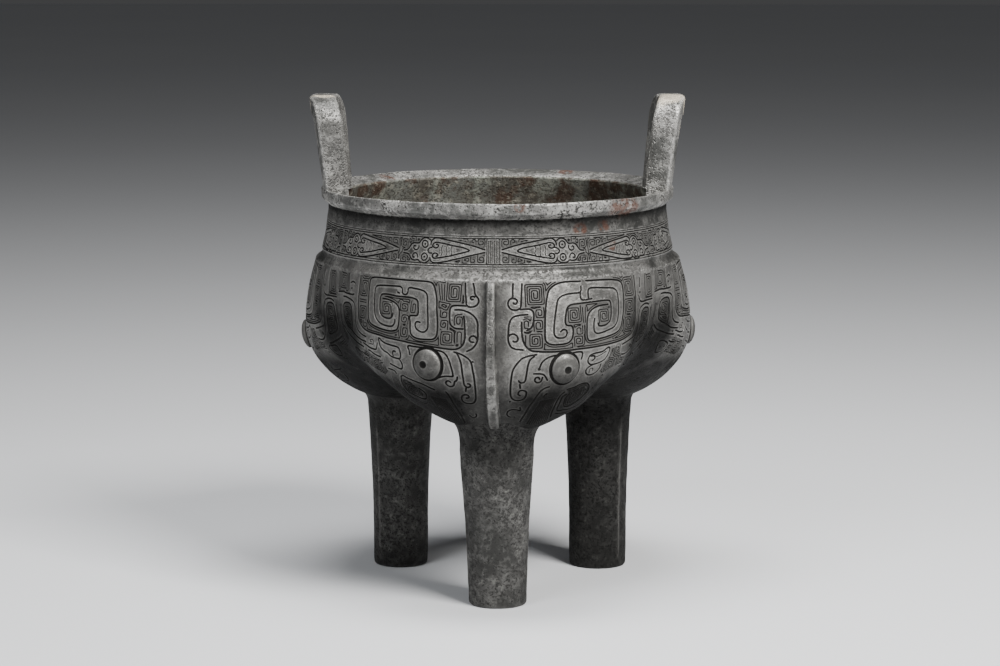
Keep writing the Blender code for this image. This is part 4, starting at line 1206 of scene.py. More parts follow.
def clear_of(stroke, eye):
    """The stroke's parts outside an eye and its groove."""
    outside = eye.reach(stroke.line) > 1 + 0.95 / eye.radius
    if outside.all():
        return [stroke]
    parts = []
    run = []
    for point, keep in zip(stroke.line, outside):
        if keep:
            run.append(point)
        if (not keep or point is stroke.line[-1]) and len(run) > 2:
            parts.append(run)
            run = []
        if not keep:
            run = []
    if len(run) > 2:
        parts.append(run)
    return [Stroke(run, stroke.width, stroke.depth, 0.7) for run in parts]


# --- Building meshes ---

def turned(points, degrees):
    """The points turned about the vertical axis."""
    angle = math.radians(degrees)
    cosine = math.cos(angle)
    sine = math.sin(angle)
    x = points[:, 0] * cosine - points[:, 1] * sine
    y = points[:, 0] * sine + points[:, 1] * cosine
    return np.stack([x, y, points[:, 2]], axis=1)


def eased(values, low, high):
    """Zero at low and one at high, smooth between them."""
    share = np.clip((np.asarray(values, float) - low) / (high - low), 0, 1)
    return share * share * (3 - 2 * share)


def painted_shade_and_dirt(across, down):
    """How much painted shade darkens the body's skin: in the valleys, low on the lobes away from the flange,
    and near the flange.
    """
    below = down - NECK_HEIGHT
    valley = eased(across, 54, 70) * eased(below, 2, 28)
    low = eased(below, 30, 52) * (0.75 + 0.25 * eased(across, 4, 18))
    by_flange = 0.48 * (1 - eased(across, 3, 10))
    return np.maximum.reduce([valley, low, by_flange])


def either(first, second):
    """Two shares together, each of the rest that the other leaves."""
    return 1 - (1 - first) * (1 - second)


def sideways(across):
    """One on the side of a lobe, zero at its flange and in its valley."""
    return eased(across, 6, 20) * (1 - eased(across, 44, 68))


def swell(across, down, amount):
    """How far a lobe bulges past its drawn form, low on its side."""
    below = down - NECK_HEIGHT
    return amount * sideways(across) * eased(below, 40, 66) * (1 - eased(below, 108, 140))


class Shell:
    """Collects points and faces of one piece, with each point's recess, inner side, and painted shade with
    dirt.
    """

    def __init__(self):
        self.points = []
        self.faces = []
        self.tints = {"recess": [], "inner": [], "painted_shade_and_dirt": [], "border": []}
        self.count = 0

    def add(self, points, faces, tints, flipped=False, turn=0.0, mirrored=False):
        """Adds faces in vessel millimetres, mirrored across the flange and turned about the axis."""
        points = np.asarray(points, float)
        if mirrored:
            points = points * (-1, 1, 1)
        self.points.append(turned(points, turn))
        flip = flipped != mirrored
        for face in faces:
            order = tuple(int(i) + self.count for i in face)
            self.faces.append(order[::-1] if flip else order)
        for label, values in self.tints.items():
            values.append(np.broadcast_to(np.asarray(tints.get(label, 0.0), float), len(points)))
        self.count += len(points)

    def add_inside(self, places, faces, wall, turn, mirrored):
        """Adds a plain sheet on the inner side of the wall."""
        points = SKIN.raised(*places.T, -wall)
        self.add(points, faces, {"inner": 1.0}, True, turn, mirrored)

    def add_edge(self, across, down, wall, turn, mirrored):
        """Adds quads from a line on the skin to the wall's inner side."""
        number = max(np.size(across), np.size(down))
        faces = [(i, i + 1, number + i + 1, number + i) for i in range(number - 1)]
        points = np.vstack([SKIN.raised(across, down, 0.0), SKIN.raised(across, down, -wall)])
        inner = np.repeat((0.0, 1.0), number)
        self.add(points, faces, {"inner": inner, "border": 1.0}, False, turn, mirrored)

    def finished(self, name, sharp=40.0, wobble=0.07, weld=0.012):
        """One closed mesh in the row's frame, doubles merged and normals outward."""
        data = bpy.data.meshes.new(name)
        data.from_pydata(np.vstack(self.points).tolist(), [], self.faces)
        for label, values in self.tints.items():
            set_attribute(data, label, np.concatenate(values))
        return closed_mesh(data, sharp, wobble, weld)


def closed_mesh(data, sharp, wobble, weld=0.012):
    """The mesh merged, made uneven, turned outward and moved to the vessel's axis in metres."""
    mesh = bmesh.new()
    mesh.from_mesh(data)
    bmesh.ops.remove_doubles(mesh, verts=mesh.verts, dist=weld)
    bmesh.ops.dissolve_degenerate(mesh, edges=mesh.edges, dist=0.004)
    bmesh.ops.triangulate(mesh, faces=[face for face in mesh.faces if len(face.verts) > 4])
    bmesh.ops.recalc_face_normals(mesh, faces=mesh.faces)
    for vert in mesh.verts:
        broad = noise.noise_vector(vert.co * 0.16)
        vert.co += wobble * broad + 0.4 * wobble * noise.noise_vector(vert.co * 0.55)
    mesh.to_mesh(data)
    mesh.free()
    move_to(data, np.clip(read(data.vertices, "co", 3) * MM + AXIS, CAD_BOX[0], CAD_BOX[1]))
    data.update()
    worn = convexity(data)
    if "border" in data.attributes:
        worn *= 1 - read(data.attributes["border"].data, "value", 1)[:, 0]
    set_attribute(data, "worn", worn)
    data.shade_smooth()
    data.set_sharp_from_angle(angle=math.radians(sharp))
    return data


def convexity(data):
    """How far each point stands proud of its neighbours, from zero to one."""
    places = places_of(data)
    count = len(places)
    normals = read(data.vertex_normals, "vector", 3).astype(float)
    first, second = read(data.edges, "vertices", 2, np.int32).T
    way = places[second] - places[first]
    way /= np.maximum(np.linalg.norm(way, axis=1), 1e-9)[:, None]
    total = np.bincount(first, -(way * normals[first]).sum(axis=1), count)
    total += np.bincount(second, (way * normals[second]).sum(axis=1), count)
    number = np.bincount(first, minlength=count) + np.bincount(second, minlength=count)
    return np.clip(total / np.maximum(number, 1) / 0.3, 0, 1)


def piece(name, data, material):
    """Puts a finished mesh in the scene for the vessel's solid."""
    obj = bpy.data.objects.new(name, data)
    bpy.context.scene.collection.objects.link(obj)
    data.materials.append(material)
    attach(obj, "root")
    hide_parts("ding")
    return obj


def plain_sheet(top, foot, pitch, gap):
    """A sheet with a fine border that matches the carved one, and wide faces inside."""
    across, down = border_points(top, foot, pitch)
    points = []
    segments = []
    borders = [[(x, y) for x in across] for y in (top, foot)]
    borders += [[(x, y) for y in down] for x in (0.0, SHEET_WIDTH)]
    for line in borders:
        first = len(points)
        points += line
        segments += [(first + i, first + i + 1) for i in range(len(line) - 1)]
    inside_x, inside_y = (line[1:-1] for line in border_points(top, foot, gap))
    points += [(x, y) for y in inside_y for x in inside_x]
    return triangulated(points, segments, 0)


SLIVER = 0.001
UNDER_SIDE_GAP = 1.6


def under_sheet(pitch, gap):
    """The underside of half a lobe from its low line to the axis: places on the sheet, and faces."""
    lowest = NECK_HEIGHT + SHEET_DEPTH
    across, _ = border_points(NECK_HEIGHT, lowest, pitch)
    low_line = SKIN.profile(across, np.full(len(across), lowest + 1e-6))[:, 0]
    angle = np.radians(across / SHEET_WIDTH * HALF_LOBE)
    edge = [(r * math.sin(a), r * math.cos(a)) for r, a in zip(low_line, angle)]
    sides = []
    for x, y in (edge[-1], edge[0]):
        count = round(math.hypot(x, y) / UNDER_SIDE_GAP)
        sides.append([(x * s, y * s) for s in np.linspace(1, 0, count + 1)[1:-1]])
    loop = edge + sides[0] + [(0.0, 0.0)] + sides[1][::-1]
    segments = [(i, (i + 1) % len(loop)) for i in range(len(loop))]
    tree = tree_of(loop)
    points = list(loop)
    middle = 0.5 * LEG_CIRCLE_RADIUS
    for x in np.arange(0.0, middle * 2, gap):
        for y in np.arange(0.0, middle * 2, gap):
            turn = math.degrees(math.atan2(x, y))
            on_plan = math.hypot(x, y - middle) < middle - 0.5 * gap
            if on_plan and turn < HALF_LOBE and gap_to(tree, x, y) > 0.6 * gap:
                points.append((x, y))
    plan, faces = triangulated(points, segments, 1)
    first, second, third = plan[faces].transpose(1, 0, 2)
    area = 0.5 * np.abs(np.cross(second - first, third - first))
    return SKIN.under_place(plan), faces[(area > SLIVER) & within((first + second + third) / 3, loop)]


# Gaps between the points of the plain sheets.
INSIDE_GAP = 3.4
UNDER_GAP = 2.2
NECK_INSIDE_GAP = 2.5

# How dark the painted shadow of the rim is on the neck just below it.
NECK_PAINTED_SHADOW = 0.93


def body_piece(name, cuttings, turn, swells, material, wall):
    """A third of the bowl, from one flange to the next, with its valley in the middle."""
    shell = Shell()
    lowest = NECK_HEIGHT + SHEET_DEPTH
    across, down = border_points(NECK_HEIGHT, lowest, PITCH)
    plain, plain_faces = plain_sheet(NECK_HEIGHT, lowest, PITCH, INSIDE_GAP)
    under, under_faces = under_sheet(PITCH, UNDER_GAP)
    on_side = np.isclose(under[:, 0], 0.0) | (under[:, 1] > lowest + SHEET_DEPTH - 1e-3)
    side = np.sort(under[on_side, 1])
    halves = ((cuttings[0], False, turn, swells[0]), (cuttings[1], True, turn + THIRD, swells[1]))
    for cutting, mirrored, angle, amount in halves:
        x, y = cutting.flat.T
        outer = SKIN.raised(x, y, cutting.height + swell(x, y, amount))
        # Painted shade of the skin, joined with the dirt of the ground and the painted shade of the eyes.
        dark = either(painted_shade_and_dirt(x, y), cutting.dirt_and_painted_shade)
        tints = {"recess": cutting.recess, "painted_shade_and_dirt": dark, "border": x < 0.01}
        shell.add(outer, cutting.faces, tints, False, angle, mirrored)
        x, y = under.T
        below = SKIN.raised(x, y, swell(x, y, amount))
        # The underside is darkened all over: painted shade.
        shell.add(below, under_faces, {"painted_shade_and_dirt": 1.0, "border": x < 0.01}, False, angle, mirrored)
        shell.add_inside(under, under_faces, wall, angle, mirrored)
        shell.add_inside(plain, plain_faces, wall, angle, mirrored)
        shell.add_edge(0.0, np.concatenate([down, side[1:]]), wall, angle, mirrored)
        shell.add_edge(across, NECK_HEIGHT, wall, angle, mirrored)
    return piece(name, shell.finished(name), material)


def neck_piece(cuttings, material, wall):
    """The ring of the neck with its band, cove and ledge."""
    shell = Shell()
    across, _ = border_points(0.0, NECK_HEIGHT, BAND_PITCH)
    plain, plain_faces = plain_sheet(0.0, NECK_HEIGHT, BAND_PITCH, NECK_INSIDE_GAP)
    for lobe in range(LOBES):
        for cutting, mirrored in ((cuttings[0], False), (cuttings[1], True)):
            turn = THIRD * lobe
            x, y = cutting.flat.T
            # Painted shadow of the rim, fading down the neck, joined with the dirt of the band's ground.
            painted_shadow_and_dirt = either(NECK_PAINTED_SHADOW * (1 - eased(y, 0.5, 8.5)), cutting.dirt_and_painted_shade)
            tints = {"recess": cutting.recess, "painted_shade_and_dirt": painted_shadow_and_dirt}
            shell.add(SKIN.raised(x, y, cutting.height), cutting.faces, tints, False, turn, mirrored)
            shell.add_inside(plain, plain_faces, wall, turn, mirrored)
            for drop in (0.0, NECK_HEIGHT):
                shell.add_edge(across, drop, wall, turn, mirrored)
    return piece("neck", shell.finished("neck"), material)


def spun(profile, steps, name):
    """A profile of radius and height spun round the vertical axis through the origin."""
    mesh = bmesh.new()
    verts = [mesh.verts.new((r, 0.0, z)) for r, z in profile]
    edges = [mesh.edges.new(pair) for pair in zip(verts, verts[1:])]
    bmesh.ops.spin(
        mesh, geom=verts + edges, axis=(0, 0, 1), cent=(0, 0, 0), angle=2 * math.pi, steps=steps,
        use_merge=True,
    )
    bmesh.ops.remove_doubles(mesh, verts=mesh.verts, dist=0.001)
    data = bpy.data.meshes.new(name)
    mesh.to_mesh(data)
    mesh.free()
    return data


def read(items, label, size, kind=np.float32):
    """A value or vector of each item of a mesh, one row for each item."""
    values = np.empty(size * len(items), kind)
    items.foreach_get(label, values)
    return values.reshape(-1, size)


def set_attribute(data, label, values):
    """Stores one value for each point of a mesh."""
    layer = data.attributes.new(label, "FLOAT", "POINT")
    layer.data.foreach_set("value", np.asarray(values, np.float32))


def places_of(data):
    """The points of a mesh."""
    return read(data.vertices, "co", 3).astype(float)


def move_to(data, places):
    """Moves the points of a mesh."""
    data.vertices.foreach_set("co", places.astype(np.float32).ravel())


def rounded_profile(corners, radii, gap):
    """A closed outline with rounded corners, its points evenly close."""
    result = []
    count = len(corners)
    for k in range(count):
        corner = np.array(corners[k], float)
        before = np.array(corners[k - 1], float) - corner
        after = np.array(corners[(k + 1) % count], float) - corner
        radius = radii[k]
        start = corner + before / np.linalg.norm(before) * radius
        end = corner + after / np.linalg.norm(after) * radius
        steps = 5 if radius > 0.3 else 2
        for s in np.linspace(0, 1, steps):
            result.append(start * (1 - s) ** 2 + 2 * corner * s * (1 - s) + end * s ** 2)
    result.append(result[0])
    dense = [result[0]]
    for first, second in zip(result, result[1:]):
        number = max(1, math.ceil(np.linalg.norm(second - first) / gap))
        for s in range(1, number + 1):
            dense.append(first + (second - first) * s / number)
    return dense


# The rim's section: radius, height and how far each corner is rounded.
RIM_CORNERS = [
    (73.3, 168.1, 0.1), (74.3, 168.5, 0.4), (75.9, 169.8, 0.7), (77.05, 171.0, 0.6), (77.1, 175.0, 0.5),
    (76.4, 175.35, 0.4), (RIM_INNER_RADIUS + 1.2, 173.25, 1.0), (RIM_INNER_RADIUS + 0.05, 172.0, 0.9),
    (RIM_INNER_RADIUS + 0.6, 169.5, 2.4), (70.4, 164.2, 1.2), (71.35, 160.0, 0.1), (72.6, 160.6, 0.1),
]
RIM_STEPS = 360

# The rim's unevenness: its waves up and down, and its chips, which start at a level of the noise.
RIM_WAVE = 0.22
RIM_DROP = 0.12
CHIP_DEPTH = 0.9
CHIP_FROM = 0.28


def rim_piece(material):
    """The flat everted rim with its worn edges, its dished top and the lip inside."""
    corners = [(r, z) for r, z, _ in RIM_CORNERS]
    radii = [rounding for _, _, rounding in RIM_CORNERS]
    data = spun(rounded_profile(corners, radii, 1.1), RIM_STEPS, "rim")
    places = places_of(data)
    radius = np.hypot(places[:, 0], places[:, 1])
    angle = np.arctan2(places[:, 1], places[:, 0])
    uneven = np.array([
        noise.noise(Vector((2.2 * math.cos(a), 2.2 * math.sin(a), 0.3))) for a in angle
    ])
    places[:, 2] += RIM_WAVE * uneven * np.clip((places[:, 2] - 168) / 6, 0, 1) - RIM_DROP
    chip = np.array([
        max(0.0, noise.noise(Vector((9 * math.cos(a), 9 * math.sin(a), 0.21 * z))) - CHIP_FROM)
        for a, z in zip(angle, places[:, 2])
    ])
    outer = np.clip((radius - 75.6) / 1.2, 0, 1)
    places[:, :2] *= (1 - (CHIP_DEPTH * chip * outer) / radius)[:, None]
    move_to(data, places)
    below_lip = np.clip((RIM_INNER_TOP + 0.2 - places[:, 2]) / 0.8, 0, 1)
    set_attribute(data, "inner", below_lip * (radius < 72))
    return piece("rim", closed_mesh(data, 50, 0.08), material)


HANDLE_LIMB = 9.0
HANDLE_SPAN = 41.0
HANDLE_CORNER = 11.0
HANDLE_ROOT = 3.0
HANDLE_FOOT = 10.3
HANDLE_TOP = 11.8
HANDLE_LEAN = math.tan(math.radians(6.4))
HANDLE_EDGE = 1.6

# Half the thickness of a handle's drawn section, which is scaled to each place's real thickness.
SECTION_HALF = 5.0
PIT_SHARE = 0.006


def handle_path(height):
    """Middle line of a handle's arch: sideways, up from the rim, and the limb's way in degrees."""
    half = 0.5 * (HANDLE_SPAN - HANDLE_LIMB)
    top = height - 0.5 * HANDLE_LIMB
    bend = HANDLE_CORNER - 0.5 * HANDLE_LIMB
    upright = 90.0
    path = [(-half, z, upright) for z in np.linspace(-HANDLE_ROOT, top - bend, 34)[:-1]]
    for angle in np.linspace(upright, 0, 11):
        turn = math.radians(angle)
        path.append((-half + bend * (1 - math.sin(turn)), top - bend * (1 - math.cos(turn)), angle))
    for x in np.linspace(-half + bend, 0.0, 12)[1:-1]:
        path.append((x, top, 0.0))
    mirrored = [(-x, z, -angle) for x, z, angle in path[::-1]]
    return path + [(0.0, top, 0.0)] + mirrored


def handle_section(half_thick, half, edge):
    """Outline of a limb across its way, with rounded edges: thickness and across."""
    points = []
    for sx, sy in ((1, 1), (-1, 1), (-1, -1), (1, -1)):
        corner = (sx * half_thick, sy * half)
        first = (sx * half_thick, sy * (half - edge))
        last = (sx * (half_thick - edge), sy * half)
        if sx * sy < 0:
            first, last = last, first
        for s in (0.0, 0.33, 0.67, 1.0):
            points.append(tuple(
                first[k] * (1 - s) ** 2 + 2 * corner[k] * s * (1 - s) + last[k] * s ** 2 for k in (0, 1)
            ))
    dense = []
    for k, point in enumerate(points):
        after = points[(k + 1) % len(points)]
        number = max(1, round(math.dist(point, after) / 1.1))
        for s in range(number):
            share = s / number
            dense.append((point[0] + share * (after[0] - point[0]), point[1] + share * (after[1] - point[1])))
    return dense


def handle_piece(name, turn, sizes, material):
    """An upright handle whose plan follows the rim and which leans out a little."""
    height = sizes.handle_height / MM - 0.2
    foot_radius = RIM_RADIUS - 0.15 - 0.5 * HANDLE_FOOT
    outline = handle_section(SECTION_HALF, 0.5 * HANDLE_LIMB, HANDLE_EDGE)
    number = len(outline)
    mesh = bmesh.new()
    rings = []
    for side, rise, way in handle_path(height):
        slope = math.radians(way)
        share = max(rise, 0.0) / height
        half_thick = 0.5 * (HANDLE_FOOT + share * (HANDLE_TOP - HANDLE_FOOT)) - 0.1
        ring = []
        for thick, across in outline:
            z = RIM_TOP + rise + across * math.cos(slope)
            radius = foot_radius + (z - RIM_TOP) * HANDLE_LEAN + thick * half_thick / SECTION_HALF
            angle = (side - across * math.sin(slope)) / foot_radius
            ring.append(mesh.verts.new((radius * math.cos(angle), radius * math.sin(angle), z)))
        rings.append(ring)
    for first, second in zip(rings, rings[1:]):
        for i in range(number):
            j = (i + 1) % number
            mesh.faces.new((first[i], first[j], second[j], second[i]))
    for ring in (rings[0], rings[-1]):
        edges = [mesh.edges.get((ring[i], ring[i - 1])) for i in range(number)]
        bmesh.ops.contextual_create(mesh, geom=edges)
    for vert in mesh.verts:
        pit = max(0.0, noise.noise(vert.co * 0.5 + Vector((turn, 0, 0))) - 0.3)
        vert.co *= 1.0 - PIT_SHARE * pit * (vert.co.z > RIM_TOP + 1)
    data = bpy.data.meshes.new(name)
    mesh.to_mesh(data)
    mesh.free()
    move_to(data, turned(places_of(data), turn))
    return piece(name, closed_mesh(data, 50, 0.12), material)


def pouch_under(plan):
    """Height of one pouch's skin at points in plan, measured from the leg's axis."""
    result = []
    for x, y in plan:
        centre = ROW_OFFSET - LEG_CIRCLE_RADIUS
        inside = ROW_RADIUS - np.hypot(x - centre, y)
        result.append(np.interp(0.0, inside[::-1], ROW_HEIGHT[::-1]))
    return np.array(result)


def leg_radius(height):
    """Radius of a leg at a height."""
    return np.interp(height, [0, 25, 38, 60, 69, 90], [12.4, 12.95, 13.5, 14.9, 15.5, 16.9])


CAP_RADIUS = 8.0
CAP_DEPTH = 1.6
FOOT_ROWS = [(0.0, 0.0), (6.0, 0.0), (11.3, 0.0), (11.9, 0.16), (12.3, 0.7)]
SHAFT_FOOT = 2.0
SHAFT_TOP = 62.0
SEAM_ANGLE = 75.0
SEAM_WIDTH = 3.4
SEAM_HEIGHT = 0.5

# Heights that mark the rows of a leg which are fitted to the pouch: the curve onto it, and the cap in it.
CURVE_ROW = 100.0
CURVE_SPAN = 10.0
CAP_ROW = 120.0
POLE_ROW = 121.0


def leg_profile():
    """Radius and height of a plain leg, with marked rows above it that are fitted to the pouch later."""
    profile = FOOT_ROWS + [(leg_radius(z), z) for z in np.linspace(SHAFT_FOOT, SHAFT_TOP, 46)]
    profile += [(leg_radius(70), CURVE_ROW + CURVE_SPAN * s) for s in np.linspace(0, 1, 14)]
    profile += [(CAP_RADIUS, CAP_ROW), (0.0, POLE_ROW)]
    return [(float(r), float(z)) for r, z in profile]


class Flare:
    """How a leg widens into its pouch in one direction from the leg's axis."""

    def __init__(self, way, swells):
        self.reach = np.linspace(13.5, 27.0, 28)
        spots = way * self.reach[:, None]
        turn = np.degrees(np.arctan2(np.abs(spots[:, 1]), LEG_CIRCLE_RADIUS + spots[:, 0]))
        bulge = sideways(turn * SHEET_WIDTH / HALF_LOBE) * swells[0 if way[1] > 0 else 1]
        self.skin = pouch_under(spots) - 0.9 * bulge
        gap = self.skin - np.interp(self.reach, [12.4, 13.5, 14.9, 16.9], [0, 38, 60, 90])
        beyond = np.flatnonzero(gap > 0)
        self.radius = max(self.reach[beyond[0]] if len(beyond) else self.reach[-1], 15.3)
        self.height = float(np.interp(self.radius, self.reach, self.skin))
        self.cap = float(pouch_under(way[None] * CAP_RADIUS)[0]) + CAP_DEPTH

    def spot(self, row, flare, thickness):
        """Radius and height for a marked row, on a curve over the flare's height or on the cap."""
        if row > CURVE_ROW + CURVE_SPAN + 0.001:
            on_cap = row < 0.5 * (CAP_ROW + POLE_ROW)
            return (CAP_RADIUS, self.cap) if on_cap else (0.0, LEG_LENGTH + CAP_DEPTH)
        share = (row - CURVE_ROW) / CURVE_SPAN
        foot = self.height - flare
        start = np.array((float(leg_radius(foot)) * thickness, foot))
        corner = np.array((self.radius, self.height))
        far = self.radius + 2.2 + 0.28 * flare
        end = np.array((far, float(np.interp(far, self.reach, self.skin)) + 0.15))
        return start * (1 - share) ** 2 + 2 * corner * share * (1 - share) + end * share ** 2


def leg_piece(name, material, lobe, shares, shift, swells, flare, leg_painted_shade):
    """A round leg that swells into its pouch, with a mold seam down each side.

    Shares are the leg's thickness against the drawn one at its foot and at its top, the shift is how
    far it stands to the right, the swells are those of the lobe's right and left side, the flare is
    the height over which it widens into the pouch, and the last value is how much painted shade darkens it.
    """
    data = spun(leg_profile(), 120, name)
    places = places_of(data)
    angle = np.arctan2(places[:, 1], places[:, 0])
    radius = np.hypot(places[:, 0], places[:, 1])
    height = places[:, 2].copy()
    front = math.radians(FRONT + THIRD * lobe)
    out = np.array((math.cos(front), math.sin(front)))
    directions = np.stack([np.cos(angle), np.sin(angle)], axis=1)
    along = directions @ out
    aside = directions @ np.array((-out[1], out[0]))
    way = np.stack([along, aside], axis=1)
    keys = [round(float(a), 4) for a in angle]
    upper = height >= CURVE_ROW - 1
    flares = {}
    for k in np.flatnonzero(upper):
        if keys[k] not in flares:
            flares[keys[k]] = Flare(way[k], swells)
        radius[k], height[k] = flares[keys[k]].spot(height[k], flare, shares[1])
    shaft = ~upper & (height > 0.5 * (FOOT_ROWS[-1][1] + SHAFT_FOOT))
    meets = {key: found.height for key, found in flares.items()}
    tops = np.array([meets.get(keys[k], LEG_LENGTH) for k in np.flatnonzero(shaft)]) - flare - 3.0
    height[shaft] = SHAFT_FOOT + (height[shaft] - SHAFT_FOOT) * tops / (SHAFT_TOP - SHAFT_FOOT)
    radius[shaft] = leg_radius(height[shaft])
    radius[~upper] *= np.interp(height[~upper], [8, 60], shares)
    seam = np.abs(np.degrees(np.arctan2(aside, along)))
    ridge = np.exp(-((seam - SEAM_ANGLE) / SEAM_WIDTH) ** 2)
    ridge = ridge * np.clip((70 - height) / 8, 0, 1) * np.clip((height - 3) / 6, 0, 1)
    radius = radius + SEAM_HEIGHT * ridge * (radius > 6)
    places = np.stack([directions[:, 0] * radius, directions[:, 1] * radius, height], axis=1)
    places[:, :2] += out * LEG_CIRCLE_RADIUS
    places[:, 0] += shift * np.interp(height, [0, 60, 90], [1.0, 0.75, 0.5])
    move_to(data, places)
    # A leg with little painted shade gets a painted shadow: a dark wedge below the toe of its flange.
    painted_toe_shadow = eased(height, 57, 66) * (1 - eased(seam * (72 - height) / 10, 12, 26)) * (leg_painted_shade < 0.3)
    # Painted shade that grows towards the top of the leg, under the bowl; it is lighter on the seam ridges.
    painted_shade_up_top = 0.3 * (1 - leg_painted_shade) * eased(height, 46, 68)
    set_attribute(data, "painted_shade_and_dirt", either(leg_painted_shade + painted_shade_up_top, 0.4 * painted_toe_shadow) * (1 - 0.65 * ridge))
    return piece(name, closed_mesh(data, 50, 0.1), material)


# A flange down its lobe: share of the sheet's depth, share of its full rise; and its width.
FLANGE_RISE = 3.2
FLANGE_RISES = ((0.0, 0.02, 0.72, 0.76, 0.79, 0.81, 0.817), (0.8, 0.97, 0.96, 0.86, 0.62, 0.3, 0.02))
FLANGE_WIDTHS = ((0, 0.3, 0.55, 0.72, 0.78, 0.805, 0.817), (3.7, 3.9, 4.5, 4.5, 3.9, 2.9, 1.6))
FLANGE_ROOT = -1.6


def flange_piece(name, turn, drift, material):
    """The upright ridge down the middle of a lobe, rounded at its toe, which may drift to the right."""
    shares = np.concatenate([np.linspace(0.004, 0.7, 64), np.linspace(0.71, 0.817, 16)])
    rings = []
    for share in shares:
        half = 0.5 * float(np.interp(share, *FLANGE_WIDTHS))
        top = FLANGE_RISE * np.interp(share, *FLANGE_RISES)
        outline = [(-half - 0.5, FLANGE_ROOT), (-half - 0.5, -0.1), (-half - 0.1, 0.45)]
        outline += [(-0.96 * half, 0.7 * top), (-0.8 * half, 0.9 * top)]
        outline += [(-0.5 * half, top), (0.0, 1.01 * top)]
        outline += [(-x, z) for x, z in outline[:-1][::-1]]
        spots = SKIN.raised(0.0, NECK_HEIGHT + SHEET_DEPTH * share, [z for _, z in outline])
        spots[:, 0] = [x + drift * float(eased(share, 0.3, 0.85)) for x, _ in outline]
        rings.append(spots)
    number = len(rings[0])
    faces = []
    for r in range(len(rings) - 1):
        for i in range(number):
            j = (i + 1) % number
            faces.append((r * number + i, r * number + j, (r + 1) * number + j, (r + 1) * number + i))
    faces.append(tuple(range(number)))
    faces.append(tuple(range((len(rings) - 1) * number, len(rings) * number)))
    shell = Shell()
    shell.add(np.vstack(rings), faces, {}, False, turn)
    return piece(name, shell.finished(name, 60.0, 0.06, 0.001), material)


# --- Bronze ---

class Socket:
    """A shader value; Python's operators on it add maths nodes."""

    def __init__(self, graph, socket):
        self.graph = graph
        self.socket = socket

    def combine(self, kind, other, swapped=False):
        """A maths node of this value and another, in either order."""
        return self.graph.maths(kind, other, self) if swapped else self.graph.maths(kind, self, other)

    def __add__(self, other):
        return self.combine("ADD", other)

    __radd__ = __add__

    def __sub__(self, other):
        return self.combine("SUBTRACT", other)

    def __rsub__(self, other):
        return self.combine("SUBTRACT", other, True)

    def __mul__(self, other):
        return self.combine("MULTIPLY", other)

    __rmul__ = __mul__


class Graph:
    """The node graph of one material."""

    def __init__(self, name):
        self.material = bpy.data.materials.new(name)
        self.material.use_nodes = True
        self.tree = self.material.node_tree
        self.surface = self.tree.nodes["Principled BSDF"]
        self.place = self.node("ShaderNodeTexCoord", {}, {}, "Object")

    def set_input(self, target, value):
        """Links a socket to an input, or sets a constant on it."""
        if isinstance(value, Socket):
            self.tree.links.new(value.socket, target)
        else:
            target.default_value = value

    def node(self, kind, settings, inputs, output=0):
        """Adds a node and gives the socket of one of its outputs."""
        node = self.tree.nodes.new(kind)
        for key, value in settings.items():
            setattr(node, key, value)
        for key, value in inputs.items():
            self.set_input(node.inputs[key], value)
        return Socket(self, node.outputs[output])

    def maths(self, kind, first, second, clamp=False):
        """A maths node, its result held between zero and one where clamped."""
        return self.node("ShaderNodeMath", {"operation": kind, "use_clamp": clamp}, {0: first, 1: second})

    def mix(self, share, first, second, kind="MIX"):
        """A blend of two colours, each a socket or a plain colour."""
        first = first if isinstance(first, Socket) else (*first, 1.0)
        second = second if isinstance(second, Socket) else (*second, 1.0)
        settings = {"data_type": "RGBA", "blend_type": kind}
        return self.node("ShaderNodeMix", settings, {0: share, 6: first, 7: second}, 2)

    def layered(self, colour, layers):
        """A colour under layers, each a share and a colour."""
        for share, layer in layers:
            colour = self.mix(share, colour, layer)
        return colour

    def noise(self, scale, detail, rough, shift=(0, 0, 0), warp=0.0):
        """Cloudy noise from zero to one."""
        place = self.node("ShaderNodeVectorMath", {"operation": "ADD"}, {0: self.place, 1: shift})
        inputs = {"Vector": place, "Scale": scale, "Detail": detail, "Roughness": rough, "Distortion": warp}
        return self.node("ShaderNodeTexNoise", {}, inputs, 0)

    def cells(self, scale, shift):
        """Distance to the nearest of a field of scattered points."""
        place = self.node("ShaderNodeVectorMath", {"operation": "ADD"}, {0: self.place, 1: shift})
        return self.node("ShaderNodeTexVoronoi", {}, {"Vector": place, "Scale": scale}, 0)

    def fade(self, value, low, high):
        """Zero at low and one at high, smooth between them."""
        inputs = {"Value": value, "From Min": low, "From Max": high}
        return self.node("ShaderNodeMapRange", {"interpolation_type": "SMOOTHSTEP"}, inputs, 0)

    def attribute(self, name):
        """A value stored on the mesh's points."""
        return self.node("ShaderNodeAttribute", {"attribute_name": name}, {}, 2)

    def near(self, spot, radius, ragged):
        """One near a spot on the vessel, fading with a ragged edge."""
        centre = tuple(float(v) for v in np.array(spot) * MM + AXIS)
        inputs = {0: self.place, 1: centre}
        gap = self.node("ShaderNodeVectorMath", {"operation": "DISTANCE"}, inputs, "Value")
        gap = gap + (ragged - 0.5) * (1.5 * radius * MM)
        return 1.0 - self.fade(gap, 0.55 * radius * MM, radius * MM)

    def near_any(self, spots, ragged):
        """One near any of the spots, each a place and a radius."""
        result = self.near(*spots[0], ragged)
        for spot, radius in spots[1:]:
            result = self.maths("MAXIMUM", result, self.near(spot, radius, ragged))
        return result

    def bump(self, height, strength, distance):
        """A normal that follows a height."""
        inputs = {"Height": height, "Strength": strength, "Distance": distance}
        return self.node("ShaderNodeBump", {}, inputs, 0)


